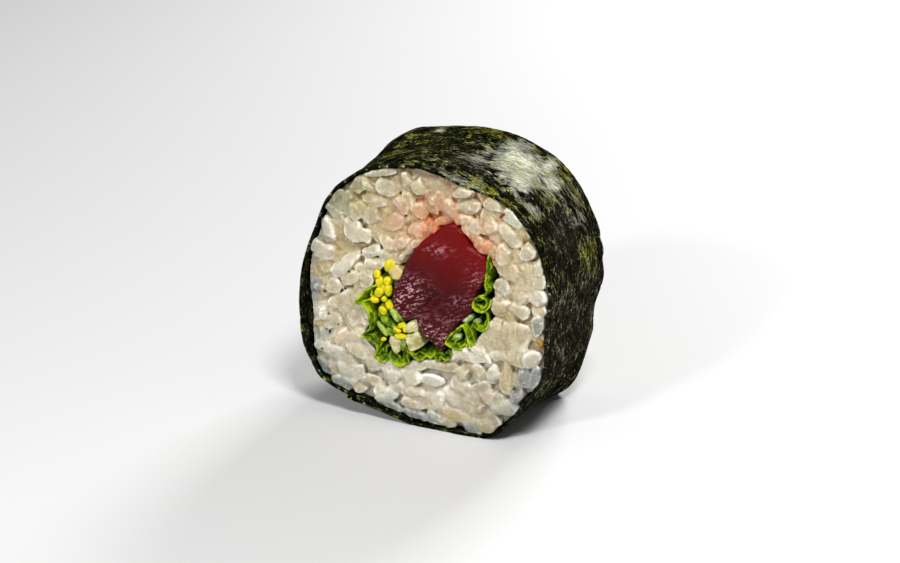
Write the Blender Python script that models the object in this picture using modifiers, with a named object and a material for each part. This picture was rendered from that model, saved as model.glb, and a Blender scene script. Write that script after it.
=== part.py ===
"""One cut piece of a futomaki, a thick sushi roll, standing on its seaweed side.

Metres, +Z up. The roll's axis runs along Y, with one cut face towards -Y. The origin is on
the floor under the middle of the piece. Outlines are in millimetres about the roll's axis,
x to the right and z up as seen from the front.
"""

import math
import random

import bmesh
import bpy
import numpy as np
from mathutils import Matrix, Vector

MM = 0.001

# Driving dimensions, in millimetres
ROLL_RADIUS = 25.6
ROLL_LENGTH = 27.0
AXIS_HEIGHT = 25.95
SHEET = 0.5
CLEARANCE = 0.3
GRAIN_LENGTH = 6.6
GRAIN_WIDTH = 3.5
GRAIN_HEIGHT = 3.0

# Corners and flats that the bamboo mat pressed: angle and half width in degrees, height in mm
CORNERS = (
    (48, 25, 1.4),
    (140, 14, 1.2),
    (-143, 26, 4.5),
    (-60, 20, 3.0),
    (-27, 10, 1.2),
    (-5, 14, -0.9),
    (-86, 17, 0.9),
)
# Lumps and dents under the sheet: angle and half width in degrees, then place along the roll,
# half width along it and height in mm
LUMPS = (
    (78, 14, 7.0, 5.0, 0.7),
    (62, 9, 6.0, 5.0, -0.6),
    (48, 12, 1.0, 6.0, 0.5),
    (27, 12, 5.0, 6.0, 0.6),
    (5, 14, 6.0, 6.0, 0.5),
    (110, 12, 4.0, 6.0, -0.5),
    (165, 14, 2.0, 7.0, 0.5),
    (70, 13, -13.5, 3.5, -1.3),
    (118, 16, -12.0, 9.0, 0.9),
    (150, 14, -14.0, 6.0, -0.7),
    (-148, 20, -13.5, 6.0, -0.5),
    (-108, 15, -13.0, 9.0, -0.6),
    (126, 18, 13.0, 9.0, 2.1),
    (33, 24, 15.0, 7.0, -0.9),
    (-7, 12, 13.5, 5.0, 0.5),
    (-20, 14, 12.0, 8.0, -1.5),
    (-50, 14, 12.0, 7.0, 2.2),
)

# The sheet is rolled clockwise from its inner end, at this angle under the roll, until its
# outer end laps over the start
LAP_START = -96.0
LAP = 30.0
LAP_RISE = 14.0
LAP_GAP = 0.25
SHEET_COLUMNS = 66
SHEET_ROWS = 6

# The rice shrank from the sheet at one side, and its face slopes back there
SHRUNK_ANGLE = -163
SHRUNK_WIDTH = 14
SHRUNK_GAP = 1.5
SLOPE_START = 12.0
SLOPE_WIDTH = 14.0
SLOPE_DEPTH = 1.2
RICE_SEGMENTS = 64
CORE_RECESS = 1.9

# Grains on the cut faces: spacings tried in turn, then how far their tips stand out or lie back
GRAIN_SPACINGS = (4.1, 3.7, 3.3)
GRAIN_TRIES = 2500
GRAIN_PROUD = 0.45
GRAIN_SUNK = 0.5
END_ON_SHARE = 0.18
GRAIN_TURNS = 60
GRAIN_SCALES = (0.88, 1.04)
GRAIN_LEAN = 25
GRAIN_STEEP = (55, 90)

# Outlines of the hole for the fillings and of the tuna, each a closed curve through its points
POCKET = (
    (5.2, 16.1),
    (1.8, 13.9),
    (-1.4, 11.3),
    (-4.2, 7.7),
    (-7.2, 7.0),
    (-9.4, 5.4),
    (-11.2, 3.8),
    (-12.3, 1.0),
    (-14.6, -2.7),
    (-13.2, -5.8),
    (-13.6, -9.4),
    (-11.2, -13.5),
    (-7.4, -14.9),
    (-4.2, -14.4),
    (-1.2, -13.1),
    (2.6, -12.3),
    (5.9, -11.4),
    (8.0, -8.8),
    (11.4, -6.8),
    (13.5, -2.8),
    (13.7, 1.2),
    (15.0, 6.4),
    (14.4, 9.6),
    (10.6, 11.7),
    (8.3, 15.1),
)
TUNA = (
    (5.2, 15.6),
    (2.2, 13.5),
    (-1.0, 10.8),
    (-3.4, 7.4),
    (-4.9, 4.2),
    (-6.5, 0.9),
    (-6.3, -2.6),
    (-4.4, -5.0),
    (-2.3, -4.7),
    (-0.7, -6.8),
    (1.5, -8.6),
    (3.5, -9.7),
    (4.8, -7.2),
    (6.8, -3.9),
    (9.6, -0.9),
    (10.8, 3.2),
    (12.6, 6.8),
    (12.3, 9.8),
    (9.2, 11.8),
    (7.3, 14.6),
)
TUNA_CENTRE = (3.6, 3.0)
TUNA_PROUD = 0.1
TUNA_CROWN = 0.6
TUNA_WAIST = 0.03
TUNA_SIDES = 40

# A groove across each cut face of the tuna: its two ends, half width and depth
GROOVE_START = (1.6, 0.2)
GROOVE_END = (-2.3, -4.7)
GROOVE_WIDTH = 1.3
GROOVE_DEPTH = 0.5

# The leaf's middle line round the underside of the fillings, and its frill
LEAF_PATH = (
    (-11.4, 0.2),
    (-13.3, -2.7),
    (-12.0, -5.8),
    (-12.3, -9.2),
    (-10.3, -12.5),
    (-7.2, -13.7),
    (-4.2, -13.2),
    (-1.2, -11.9),
    (2.2, -11.1),
    (5.0, -10.2),
    (7.0, -7.6),
    (10.2, -5.8),
    (12.2, -2.8),
    (12.4, 1.2),
    (13.4, 4.6),
    (13.9, 8.0),
)
LEAF_THICKNESS = 0.4
LEAF_SETBACK = 0.3
LEAF_FRILL = 0.45
LEAF_CALM = 0.4
LEAF_WAVES = 9.5
LEAF_SWAY = 0.9
LEAF_SWAY_WAVES = 0.35
LEAF_COLUMNS = 60
LEAF_ROWS = 4

# The bunch of flowering shoots: its outline, then the middles of the buds at a cut end
SHOOTS = (
    (-9.2, 3.2),
    (-10.3, 2.4),
    (-10.4, 0.2),
    (-11.2, -2.4),
    (-10.7, -5.2),
    (-11.0, -8.0),
    (-9.4, -10.3),
    (-8.0, -8.7),
    (-4.9, -8.4),
    (-4.8, -6.6),
    (-6.6, -4.7),
    (-7.4, -2.6),
    (-7.3, 0.6),
    (-7.6, 2.4),
)
SHOOTS_CENTRE = (-8.7, -3.6)
SHOOTS_SIDES = 24
SHOOTS_RECESS = 1.3
BUDS = (
    (-9.4, 2.6),
    (-9.3, 1.5),
    (-8.0, 1.7),
    (-9.5, 0.1),
    (-8.5, -0.3),
    (-8.0, 0.2),
    (-10.1, -1.9),
    (-8.6, -1.7),
    (-8.3, -3.0),
    (-9.1, -3.7),
    (-9.7, -6.4),
    (-5.9, -6.5),
    (-6.3, -7.4),
    (-7.6, -5.6),
    (-9.3, -8.9),
)
BUD_LENGTH = 2.0
BUD_WIDTH = 1.4
BUD_PROUD = 0.6
BUD_HEADINGS = (50, 125)
BUD_TILT = 30

# Blocks of thick stalk: middle, width and height of the section, and its turn in degrees
STALKS = {
    "stalk_top": ((-7.0, 4.8), 2.7, 2.5, -35),
    "stalk_upper": ((-2.7, -6.3), 1.9, 1.4, 16),
    "stalk_lower": ((-2.5, -9.1), 2.5, 2.6, 14),
    "stalk_side": ((-6.2, -10.6), 2.4, 2.5, -20),
}
STALK_SETBACK = 0.4
STALK_ROUNDING = 0.45


def clear_scene():
    for thing in list(bpy.data.objects):
        bpy.data.objects.remove(thing, do_unlink=True)


def material(name, colour, roughness):
    made = bpy.data.materials.new(name)
    made.use_nodes = True
    shader = made.node_tree.nodes["Principled BSDF"]
    shader.inputs["Base Color"].default_value = (*colour, 1.0)
    shader.inputs["Roughness"].default_value = roughness
    shader.inputs["Metallic"].default_value = 0.0
    return made


def smoothstep(value):
    value = min(1.0, max(0.0, value))
    return value * value * (3 - 2 * value)


def turn_from(centre, angle):
    return (angle - centre + 180) % 360 - 180


def swell(offset, width):
    return math.exp(-((offset / width) ** 2))


def sheet_radius(angle, along):
    """Radius of the sheet's outer side at an angle in degrees and a place along the roll."""
    radius = ROLL_RADIUS
    for centre, width, height in CORNERS:
        radius += height * swell(turn_from(centre, angle), width)
    for centre, width, middle, length, height in LUMPS:
        radius += height * swell(turn_from(centre, angle), width) * swell(along - middle, length)
    return radius


def roll_point(angle, along, inset):
    """A point so far inside the sheet's outer side. The underside is flat where the roll stands."""
    radius = sheet_radius(angle, along) - inset
    x = radius * math.cos(math.radians(angle))
    z = radius * math.sin(math.radians(angle))
    return x, max(z, inset - AXIS_HEIGHT)


def lap_inset(turned):
    """How far the start of the sheet lies inside the layer that laps over it."""
    return (SHEET + LAP_GAP) * (1 - smoothstep((turned - LAP) / LAP_RISE))


def rice_inset(angle):
    turned = (LAP_START - angle) % 360
    lap = max(lap_inset(turned), lap_inset(LAP + 360 - turned))
    return SHEET + CLEARANCE + lap + SHRUNK_GAP * swell(turn_from(SHRUNK_ANGLE, angle), SHRUNK_WIDTH)


def slope_back(x):
    """How far the cut face lies behind the sheet's edge at the side where the rice shrank."""
    return SLOPE_DEPTH * smoothstep((-x - SLOPE_START) / SLOPE_WIDTH)


def spline(points, place, closed):
    """A point on the Catmull-Rom curve through the points, at a place from 0 to 1."""
    spans = len(points) if closed else len(points) - 1
    step = min(place * spans, spans - 1e-9) if not closed else place * spans
    first = math.floor(step)
    t = step - first

    def at(index):
        if closed:
            return Vector(points[index % len(points)])
        return Vector(points[min(max(index, 0), len(points) - 1)])

    a, b, c, d = (at(first + k) for k in (-1, 0, 1, 2))
    return 0.5 * (2 * b + (c - a) * t + (2 * a - 5 * b + 4 * c - d) * t**2 + (3 * b - a - 3 * c + d) * t**3)


def sheet_point(turned, along):
    return roll_point(LAP_START - turned, along, lap_inset(turned))


def axis_shift():
    """How far the roll's axis lies to the right of the middle, from the sheet's own width."""
    rows = [ROLL_LENGTH * (row / SHEET_ROWS - 0.5) for row in range(SHEET_ROWS + 1)]
    xs = [sheet_point(turned, along)[0] for turned in range(round(360 + LAP)) for along in rows]
    return -(max(xs) + min(xs)) / 2


AXIS_X = axis_shift()


def placed(x, along, z):
    """From millimetres about the roll's axis to metres about the origin."""
    return Vector(((x + AXIS_X) * MM, along * MM, (z + AXIS_HEIGHT) * MM))


def new_object(name, mesh, collection, finish):
    made = bpy.data.objects.new(name, mesh)
    collection.objects.link(made)
    mesh.materials.append(finish)
    return made


def drum(name, segments, cap_rings, rows, shape):
    """A closed mesh with rings on both ends and down its side, shaped from a sphere.

    shape(turn, fraction, end) gives each point: turn and end run from 0 to 1, and fraction is 1
    on the side and less on the ends.
    """
    rings = 2 * cap_rings + rows + 1
    shaper = bmesh.new()
    bmesh.ops.create_uvsphere(shaper, u_segments=segments, v_segments=rings + 1, radius=1.0)
    for vert in shaper.verts:
        ring = round(math.acos(max(-1.0, min(1.0, vert.co.z))) / math.pi * (rings + 1))
        turn = (math.atan2(vert.co.y, vert.co.x) / math.tau) % 1.0
        fraction = min(1.0, ring / (cap_rings + 1), (rings + 1 - ring) / (cap_rings + 1))
        end = min(1.0, max(0.0, (ring - cap_rings - 1) / max(rows, 1)))
        vert.co = shape(turn, fraction, end)
    mesh = bpy.data.meshes.new(name)
    shaper.to_mesh(mesh)
    shaper.free()
    return mesh


def apply_modifiers(thing):
    bpy.context.view_layer.update()
    graph = bpy.context.evaluated_depsgraph_get()
    mesh = bpy.data.meshes.new_from_object(thing.evaluated_get(graph))
    thing.modifiers.clear()
    thing.data = mesh


def keep_largest_body(thing):
    """Drops sealed hollows and loose scraps that a union leaves."""
    editor = bmesh.new()
    editor.from_mesh(thing.data)
    waiting = set(editor.verts)
    bodies = []
    while waiting:
        edge = [waiting.pop()]
        body = set(edge)
        while edge:
            for link in edge.pop().link_edges:
                for vert in link.verts:
                    if vert in waiting:
                        waiting.remove(vert)
                        body.add(vert)
                        edge.append(vert)
        bodies.append(body)
    bodies.sort(key=len)
    for body in bodies[:-1]:
        bmesh.ops.delete(editor, geom=list(body), context="VERTS")
    editor.to_mesh(thing.data)
    editor.free()


def fuse(base, pieces):
    """Joins the pieces into the base, and removes them."""
    joined = bpy.data.collections.new(base.name + "_pieces")
    bpy.context.scene.collection.children.link(joined)
    for piece in pieces:
        joined.objects.link(piece)
    union = base.modifiers.new("fuse", "BOOLEAN")
    union.operation = "UNION"
    union.operand_type = "COLLECTION"
    union.collection = joined
    union.solver = "EXACT"
    apply_modifiers(base)
    for piece in pieces:
        bpy.data.objects.remove(piece, do_unlink=True)
    bpy.data.collections.remove(joined)
    keep_largest_body(base)


def cut(base, cutter):
    difference = base.modifiers.new("cut", "BOOLEAN")
    difference.operation = "DIFFERENCE"
    difference.object = cutter
    difference.solver = "EXACT"
    apply_modifiers(base)
    bpy.data.objects.remove(cutter, do_unlink=True)


def make_sheet(collection, finish):
    """The seaweed: one flat sheet rolled up, its outer end over its inner one."""
    roller = bmesh.new()
    bmesh.ops.create_grid(roller, x_segments=SHEET_COLUMNS, y_segments=SHEET_ROWS, size=0.5)
    for vert in roller.verts:
        turned = (360 + LAP) * (vert.co.x + 0.5)
        along = ROLL_LENGTH * vert.co.y
        x, z = sheet_point(turned, along)
        vert.co = placed(x, along, z)
    mesh = bpy.data.meshes.new("nori")
    roller.to_mesh(mesh)
    roller.free()
    sheet = new_object("nori", mesh, collection, finish)
    wall = sheet.modifiers.new("thickness", "SOLIDIFY")
    wall.thickness = SHEET * MM
    wall.offset = -1
    wall.use_even_offset = True
    mesh.shade_smooth()
    return sheet


def pocket_drum(collection, finish):
    def shape(turn, fraction, end):
        point = spline(POCKET, turn, closed=True)
        return placed(point.x * fraction, (end - 0.5) * 2 * ROLL_LENGTH, point.y * fraction)

    return new_object("pocket", drum("pocket", RICE_SEGMENTS, 0, 1, shape), collection, finish)


def pocket_radius():
    """The pocket's outline as sorted angles in degrees and radii."""
    points = [spline(POCKET, k / 720, closed=True) for k in range(720)]
    polar = sorted((math.degrees(math.atan2(p.y, p.x)), p.length) for p in points)
    return [a for a, _ in polar], [r for _, r in polar]


POCKET_ANGLES, POCKET_RADII = pocket_radius()


def depth_in_rice(x, along, z):
    """How far a point lies from the fillings and the seaweed, below zero when it is in them."""
    angle = math.degrees(math.atan2(z, x))
    inner = np.interp(angle, POCKET_ANGLES, POCKET_RADII, period=360)
    outer = Vector(roll_point(angle, along, rice_inset(angle))).length
    return min(math.hypot(x, z) - inner, outer - math.hypot(x, z))


def rice_core(collection, finish):
    def shape(turn, fraction, end):
        length = ROLL_LENGTH / 2 - CORE_RECESS
        angle = 360 * turn
        along = length * (2 * end - 1)
        x, z = roll_point(angle, along, rice_inset(angle) + CLEARANCE / 2)
        x, z = x * fraction, z * fraction
        return placed(x, along * (1 - slope_back(x) / length), z)

    return new_object("rice", drum("rice", RICE_SEGMENTS, 2, SHEET_ROWS, shape), collection, finish)


def grain_template():
    """The points of one grain about its middle, in millimetres."""
    editor = bmesh.new()
    bmesh.ops.create_uvsphere(editor, u_segments=5, v_segments=4, radius=0.5)
    for vert in editor.verts:
        vert.co = Vector((vert.co.z * GRAIN_LENGTH, vert.co.x * GRAIN_WIDTH, vert.co.y * GRAIN_HEIGHT))
    bmesh.ops.recalc_face_normals(editor, faces=editor.faces)
    mesh = bpy.data.meshes.new("grain")
    editor.to_mesh(mesh)
    editor.free()
    return mesh


def grain_places(side, draw):
    """Middles of the grains that show on one cut face, packed closer at each pass."""
    found = []
    reach = ROLL_RADIUS + max(height for _, _, height in CORNERS)
    for spacing in GRAIN_SPACINGS:
        for _ in range(GRAIN_TRIES):
            x, z = draw.uniform(-reach, reach), draw.uniform(-AXIS_HEIGHT, reach)
            if depth_in_rice(x, side * ROLL_LENGTH / 2, z) < GRAIN_HEIGHT / 2:
                continue
            if all(math.hypot(x - a, z - b) > spacing for a, b in found):
                found.append((x, z))
    return found


def grain_turn(draw):
    heading = Matrix.Rotation(draw.uniform(0, math.pi), 3, "Y")
    steep = draw.random() < END_ON_SHARE
    tilt = math.radians(draw.uniform(*GRAIN_STEEP) if steep else draw.uniform(-GRAIN_LEAN, GRAIN_LEAN))
    roll = Matrix.Rotation(draw.uniform(0, math.pi), 3, "X")
    return heading @ Matrix.Rotation(tilt, 3, "Z") @ roll


def lay_grain(template, x, z, side, draw):
    """The grain's points in millimetres, or None where it won't fit between its neighbours."""
    for _ in range(GRAIN_TURNS):
        size = draw.uniform(*GRAIN_SCALES)
        turn = grain_turn(draw)
        points = [turn @ vert.co * size for vert in template.vertices]
        front = max(side * p.y for p in points)
        face = ROLL_LENGTH / 2 - slope_back(x) + draw.uniform(-GRAIN_SUNK, GRAIN_PROUD)
        moved = [p + Vector((x, side * (face - front), z)) for p in points]
        if all(depth_in_rice(p.x, p.y, p.z) > 0 for p in moved):
            return moved
    return None


def make_rice(collection, finish):
    """The rice: a core ring, with the grains that show on both cut faces fused on."""
    rice = rice_core(collection, finish)
    cut(rice, pocket_drum(collection, finish))
    template = grain_template()
    grains = []
    for side, seed in ((-1, 7), (1, 12)):
        draw = random.Random(seed)
        for x, z in grain_places(side, draw):
            points = lay_grain(template, x, z, side, draw)
            if points is None:
                continue
            mesh = template.copy()
            for vert, point in zip(mesh.vertices, points):
                vert.co = placed(point.x, point.y, point.z)
            grains.append(bpy.data.objects.new("grain", mesh))
    fuse(rice, grains)
    return rice


def groove(point):
    """Depth of the groove across the tuna's cut faces."""
    start, end = Vector(GROOVE_START), Vector(GROOVE_END)
    place = (point - start).dot(end - start) / (end - start).length_squared
    nearest = start.lerp(end, min(1.0, max(0.0, place)))
    return GROOVE_DEPTH * swell((point - nearest).length, GROOVE_WIDTH)


def make_tuna(collection, finish):
    """A bar of raw tuna with a crowned, grooved cut face at each end."""

    def shape(turn, fraction, end):
        centre = Vector(TUNA_CENTRE)
        outline = Vector(spline(TUNA, turn, closed=True))
        point = centre + (outline - centre) * fraction
        bulge = TUNA_CROWN * (1 - fraction**2) - groove(point)
        reach = ROLL_LENGTH / 2 + TUNA_PROUD + (bulge if fraction < 1 else 0)
        waist = 1 - TUNA_WAIST * math.sin(math.pi * end)
        point = centre + (point - centre) * waist
        return placed(point.x, reach * (2 * end - 1), point.y)

    tuna = new_object("tuna", drum("tuna", TUNA_SIDES, 4, 3, shape), collection, finish)
    tuna.data.shade_smooth()
    return tuna


def leaf_point(place, along):
    """A point of the frilled leaf, so far along its path and along the roll."""
    here = spline(LEAF_PATH, place, closed=False)
    ahead = spline(LEAF_PATH, min(place + 0.01, 1.0), closed=False)
    behind = spline(LEAF_PATH, max(place - 0.01, 0.0), closed=False)
    out = Vector((ahead.y - behind.y, behind.x - ahead.x)).normalized() * -1
    edge = abs(along) / (ROLL_LENGTH / 2)
    frill = LEAF_FRILL * (LEAF_CALM + (1 - LEAF_CALM) * edge**2)
    sway = LEAF_SWAY * math.sin(math.tau * LEAF_SWAY_WAVES * edge)
    wave = frill * math.sin(math.tau * LEAF_WAVES * place + sway)
    return here + out * wave


def make_leaf(collection, finish):
    """A thin frilled leaf round the underside of the fillings."""
    editor = bmesh.new()
    bmesh.ops.create_grid(editor, x_segments=LEAF_COLUMNS, y_segments=LEAF_ROWS, size=0.5)
    for vert in editor.verts:
        along = (ROLL_LENGTH - 2 * LEAF_SETBACK) * vert.co.y
        point = leaf_point(vert.co.x + 0.5, along)
        vert.co = placed(point.x, along, point.y)
    bmesh.ops.triangulate(editor, faces=editor.faces)
    mesh = bpy.data.meshes.new("lettuce")
    editor.to_mesh(mesh)
    editor.free()
    leaf = new_object("lettuce", mesh, collection, finish)
    wall = leaf.modifiers.new("thickness", "SOLIDIFY")
    wall.thickness = LEAF_THICKNESS * MM
    wall.offset = 0
    mesh.shade_smooth()
    return leaf


def make_shoots(collection, finish):
    """Flowering shoots: a bunch of stems, with the buds at both cut ends fused on."""
    centre = Vector(SHOOTS_CENTRE)

    def shape(turn, fraction, end):
        point = centre.lerp(spline(SHOOTS, turn, closed=True), fraction)
        return placed(point.x, (ROLL_LENGTH / 2 - SHOOTS_RECESS) * (2 * end - 1), point.y)

    shoots = new_object("florets", drum("florets", SHOOTS_SIDES, 0, 1, shape), collection, finish)
    draw = random.Random(3)
    buds = [make_bud(middle, side, draw) for side in (-1, 1) for middle in BUDS]
    fuse(shoots, buds)
    return shoots


def make_bud(middle, side, draw):
    editor = bmesh.new()
    bmesh.ops.create_uvsphere(editor, u_segments=5, v_segments=4, radius=0.5)
    heading = Matrix.Rotation(math.radians(draw.uniform(*BUD_HEADINGS)), 3, "Y")
    turn = heading @ Matrix.Rotation(math.radians(draw.uniform(-BUD_TILT, BUD_TILT)), 3, "Z")
    depth = side * (ROLL_LENGTH / 2 - SHOOTS_RECESS + draw.uniform(0.0, BUD_PROUD))
    for vert in editor.verts:
        stretched = Vector((vert.co.z * BUD_LENGTH, vert.co.x * BUD_WIDTH, vert.co.y * BUD_WIDTH))
        point = turn @ stretched
        vert.co = placed(middle[0] + point.x, depth + point.y, middle[1] + point.z)
    bmesh.ops.recalc_face_normals(editor, faces=editor.faces)
    mesh = bpy.data.meshes.new("bud")
    editor.to_mesh(mesh)
    editor.free()
    return bpy.data.objects.new("bud", mesh)


def make_stalk(name, middle, width, height, turn, collection, finish):
    """A cut block of thick stalk that runs through the roll."""
    editor = bmesh.new()
    bmesh.ops.create_cube(editor, size=1.0)
    tilt = Matrix.Rotation(math.radians(turn), 2)
    for vert in editor.verts:
        across = tilt @ Vector((vert.co.x * width, vert.co.z * height))
        along = vert.co.y * (ROLL_LENGTH - 2 * STALK_SETBACK)
        vert.co = placed(middle[0] + across.x, along, middle[1] + across.y)
    mesh = bpy.data.meshes.new(name)
    editor.to_mesh(mesh)
    editor.free()
    stalk = new_object(name, mesh, collection, finish)
    edges = stalk.modifiers.new("edges", "BEVEL")
    edges.width = STALK_ROUNDING * MM
    edges.segments = 2
    return stalk


def main():
    clear_scene()
    futomaki = bpy.data.collections.new("futomaki")
    bpy.context.scene.collection.children.link(futomaki)
    make_sheet(futomaki, material("nori", (0.012, 0.016, 0.008), 0.45))
    make_rice(futomaki, material("rice", (0.80, 0.76, 0.66), 0.35))
    make_tuna(futomaki, material("tuna", (0.23, 0.012, 0.022), 0.25))
    make_leaf(futomaki, material("lettuce", (0.10, 0.26, 0.02), 0.4))
    make_shoots(futomaki, material("florets", (0.80, 0.62, 0.02), 0.45))
    pith = material("stalk", (0.66, 0.68, 0.42), 0.4)
    for name, (middle, width, height, turn) in STALKS.items():
        make_stalk(name, middle, width, height, turn, futomaki, pith)


main()
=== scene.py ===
"""One cut piece of futomaki, a thick sushi roll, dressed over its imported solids.

Lengths are millimetres about the roll's axis, x to the right and z up as seen from the shown
cut face, and along from that face to the hidden one. placed() turns them into metres.
"""

import math
import random

import bpy
import numpy as np
from mathutils import Matrix, Vector, noise


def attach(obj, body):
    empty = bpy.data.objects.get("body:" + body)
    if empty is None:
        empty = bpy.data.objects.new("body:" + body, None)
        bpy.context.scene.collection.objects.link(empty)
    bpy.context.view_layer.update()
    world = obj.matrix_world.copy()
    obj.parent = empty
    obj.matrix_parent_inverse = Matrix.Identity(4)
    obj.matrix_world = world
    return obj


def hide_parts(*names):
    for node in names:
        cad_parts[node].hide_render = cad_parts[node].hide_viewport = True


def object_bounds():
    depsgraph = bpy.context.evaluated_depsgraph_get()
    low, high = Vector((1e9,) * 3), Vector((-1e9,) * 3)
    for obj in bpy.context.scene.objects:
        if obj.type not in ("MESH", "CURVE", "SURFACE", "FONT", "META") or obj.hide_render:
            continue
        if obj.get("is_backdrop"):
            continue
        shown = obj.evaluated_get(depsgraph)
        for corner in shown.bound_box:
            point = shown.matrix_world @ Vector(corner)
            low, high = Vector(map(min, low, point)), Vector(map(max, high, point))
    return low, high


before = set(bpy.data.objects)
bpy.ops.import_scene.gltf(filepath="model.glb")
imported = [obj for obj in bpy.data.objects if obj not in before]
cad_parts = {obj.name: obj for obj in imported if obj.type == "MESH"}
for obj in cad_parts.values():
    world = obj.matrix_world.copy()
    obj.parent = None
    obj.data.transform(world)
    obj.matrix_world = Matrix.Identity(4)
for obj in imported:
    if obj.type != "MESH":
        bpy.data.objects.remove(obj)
cad_low, cad_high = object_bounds()

# The seaweed: one toasted sheet, rolled round the rice with its end lapped under the roll,
# then softened by the rice's moisture. It takes the lumps of the grains under it, puckers
# into creases round the roll, and is turned in a little at its cut rim.
MM = 0.001
ROLL_RADIUS = 25.6
ROLL_LENGTH = 27.0
AXIS_X = 0.665
AXIS_HEIGHT = 25.95
SHEET = 0.42

# Corners round the roll: angle, half width and how far out. Lumps of what lies under the sheet:
# angle, half width, place along, half width along and how far out.
CORNERS = (
    (48, 25, 1.4), (140, 14, 1.2), (-143, 26, 4.5), (-60, 20, 3.0),
    (-27, 10, 1.2), (-5, 14, -0.9), (-86, 17, 0.9),
)
LUMPS = (
    (78, 14, 7.0, 5.0, 0.7), (62, 9, 6.0, 5.0, -0.6), (48, 12, 1.0, 6.0, 0.5),
    (27, 12, 5.0, 6.0, 0.6), (5, 14, 6.0, 6.0, 0.5), (110, 12, 4.0, 6.0, -0.5),
    (165, 14, 2.0, 7.0, 0.5), (70, 13, -13.5, 3.5, -1.3), (118, 16, -12.0, 9.0, 0.9),
    (150, 14, -14.0, 6.0, -0.7), (-148, 20, -13.5, 6.0, -0.5), (-108, 15, -13.0, 9.0, -0.6),
    (126, 18, 13.0, 9.0, 2.1), (33, 24, 15.0, 7.0, -0.9), (-7, 12, 13.5, 5.0, 0.5),
    (-20, 14, 12.0, 8.0, -1.5), (-50, 14, 12.0, 7.0, 2.2),
)
# The lap under the roll: where it starts, its reach and the reach of its rise, in degrees
LAP_START = -96.0
LAP = 30.0
LAP_RISE = 14.0
LAP_GAP = 0.3
SHEET_ROUND = 178.0
# How deep its dents and how high its puckers may be
RELIEF_LIMITS = (-0.42, 0.45)
SHEET_COLUMNS = 540
SHEET_ROWS = 90

# Places on the sheet, as angle, half width, place along, half width along and strength, where
# a pale sheen is painted on as a highlight and the sheet is glossier, where it is purple, and
# where green strands lie thick
PAINTED_SHEEN = (
    (61, 9, 1.5, 8.0, 1.0), (70, 6, 6.0, 6.0, 0.45), (54, 5, -5.0, 4.0, 0.45),
    (42, 7, 9.0, 6.0, 0.35), (30, 7, 5.0, 4.0, 0.35), (76, 8, -4.0, 4.0, 0.35),
    (74, 16, -12.4, 1.6, 0.45), (44, 5, -9.0, 2.5, 0.5), (47, 4, 2.0, 4.0, 0.6),
    (54, 3, 9.5, 3.0, 0.6), (108, 2.5, 10.2, 0.9, 1.0),
)
PURPLE = (
    (34, 8, 1.0, 5.0, 0.7), (26, 9, -4.0, 5.0, 0.7), (-15, 32, 0.0, 20.0, 1.0),
    (78, 8, -4.5, 4.0, 0.9), (160, 20, 2.0, 9.0, 0.6), (-170, 18, -6.0, 9.0, 0.5),
)
GREEN = (
    (112, 18, 4.0, 10.0, 0.35), (50, 5, 5.0, 8.0, 1.0), (62, 9, 2.0, 7.0, 0.8),
    (37, 7, 6.0, 4.0, 0.7), (14, 8, 5.0, 6.0, 0.8), (40, 12, 12.0, 3.0, 0.8),
    (66, 14, -12.0, 2.0, 0.8), (84, 9, 9.0, 5.0, 0.8), (30, 14, -10.0, 3.0, 0.5),
    (-120, 30, 0.0, 12.0, 0.1),
)
# Creases: both ends as angle and place along, half width and depth
CREASES = (
    ((62, 11.5), (54, 5.2), 0.9, 0.55),
    ((54, 5.2), (49, 0.5), 0.9, 0.5),
    ((86, -1.0), (66, -4.5), 0.8, 0.3),
)


def smoothstep(value):
    value = np.clip(value, 0.0, 1.0)
    return value * value * (3 - 2 * value)


def swell(offset, width):
    return np.exp(-((offset / width) ** 2))


def turn_from(centre, angle):
    return (angle - centre + 180) % 360 - 180


def patches(places, angle, along):
    """How strongly a place on the sheet lies in some patches, up to 1."""
    total = 0.0
    for centre, width, middle, length, strength in places:
        near = swell(turn_from(centre, angle), width) * swell(along - middle, length)
        total = total + strength * near
    return np.minimum(total, 1.0)


def roll_points(angle, along, inset):
    """Points so far inside the sheet's outer side. The underside is flat where the roll stands."""
    radius = ROLL_RADIUS - inset
    for centre, width, height in CORNERS:
        radius = radius + height * swell(turn_from(centre, angle), width)
    for centre, width, middle, length, height in LUMPS:
        near = swell(turn_from(centre, angle), width) * swell(along - middle, length)
        radius = radius + height * near
    x, z = radius * np.cos(np.radians(angle)), radius * np.sin(np.radians(angle))
    return x, np.maximum(z, inset - AXIS_HEIGHT)


def placed(x, along, z):
    """Metres about the origin, from arrays of millimetres about the roll's axis."""
    return np.stack(np.broadcast_arrays(x + AXIS_X, along, z + AXIS_HEIGHT), -1) * MM


def noises(places, scale, seed=0.0):
    """Smooth noise between -1 and 1 at an array of places, scaled alike or each way apart."""
    spots = places * np.array(scale) + np.array([0, 0, seed])
    return np.array([noise.noise(spot) for spot in spots.tolist()])


def points_of(piece):
    flat = np.empty(len(piece.data.vertices) * 3)
    piece.data.vertices.foreach_get("co", flat)
    return flat.reshape(-1, 3)


def set_points(piece, points):
    piece.data.vertices.foreach_set("co", points.astype(np.float32).ravel())
    piece.data.update()


def set_colours(piece, name, colours):
    """Stores a colour at each point, as rows of three values."""
    attribute = piece.data.color_attributes.new(name, "FLOAT_COLOR", "POINT")
    with_alpha = np.concatenate([colours, np.ones((len(colours), 1))], 1)
    attribute.data.foreach_set("color", with_alpha.astype(np.float32).ravel())


def apply_modifier(piece, kind, **settings):
    modifier = piece.modifiers.new(kind.title(), kind)
    for name, value in settings.items():
        setattr(modifier, name, value)
    bpy.ops.object.select_all(action="DESELECT")
    piece.select_set(True)
    bpy.context.view_layer.objects.active = piece
    bpy.ops.object.modifier_apply(modifier=modifier.name)


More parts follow.
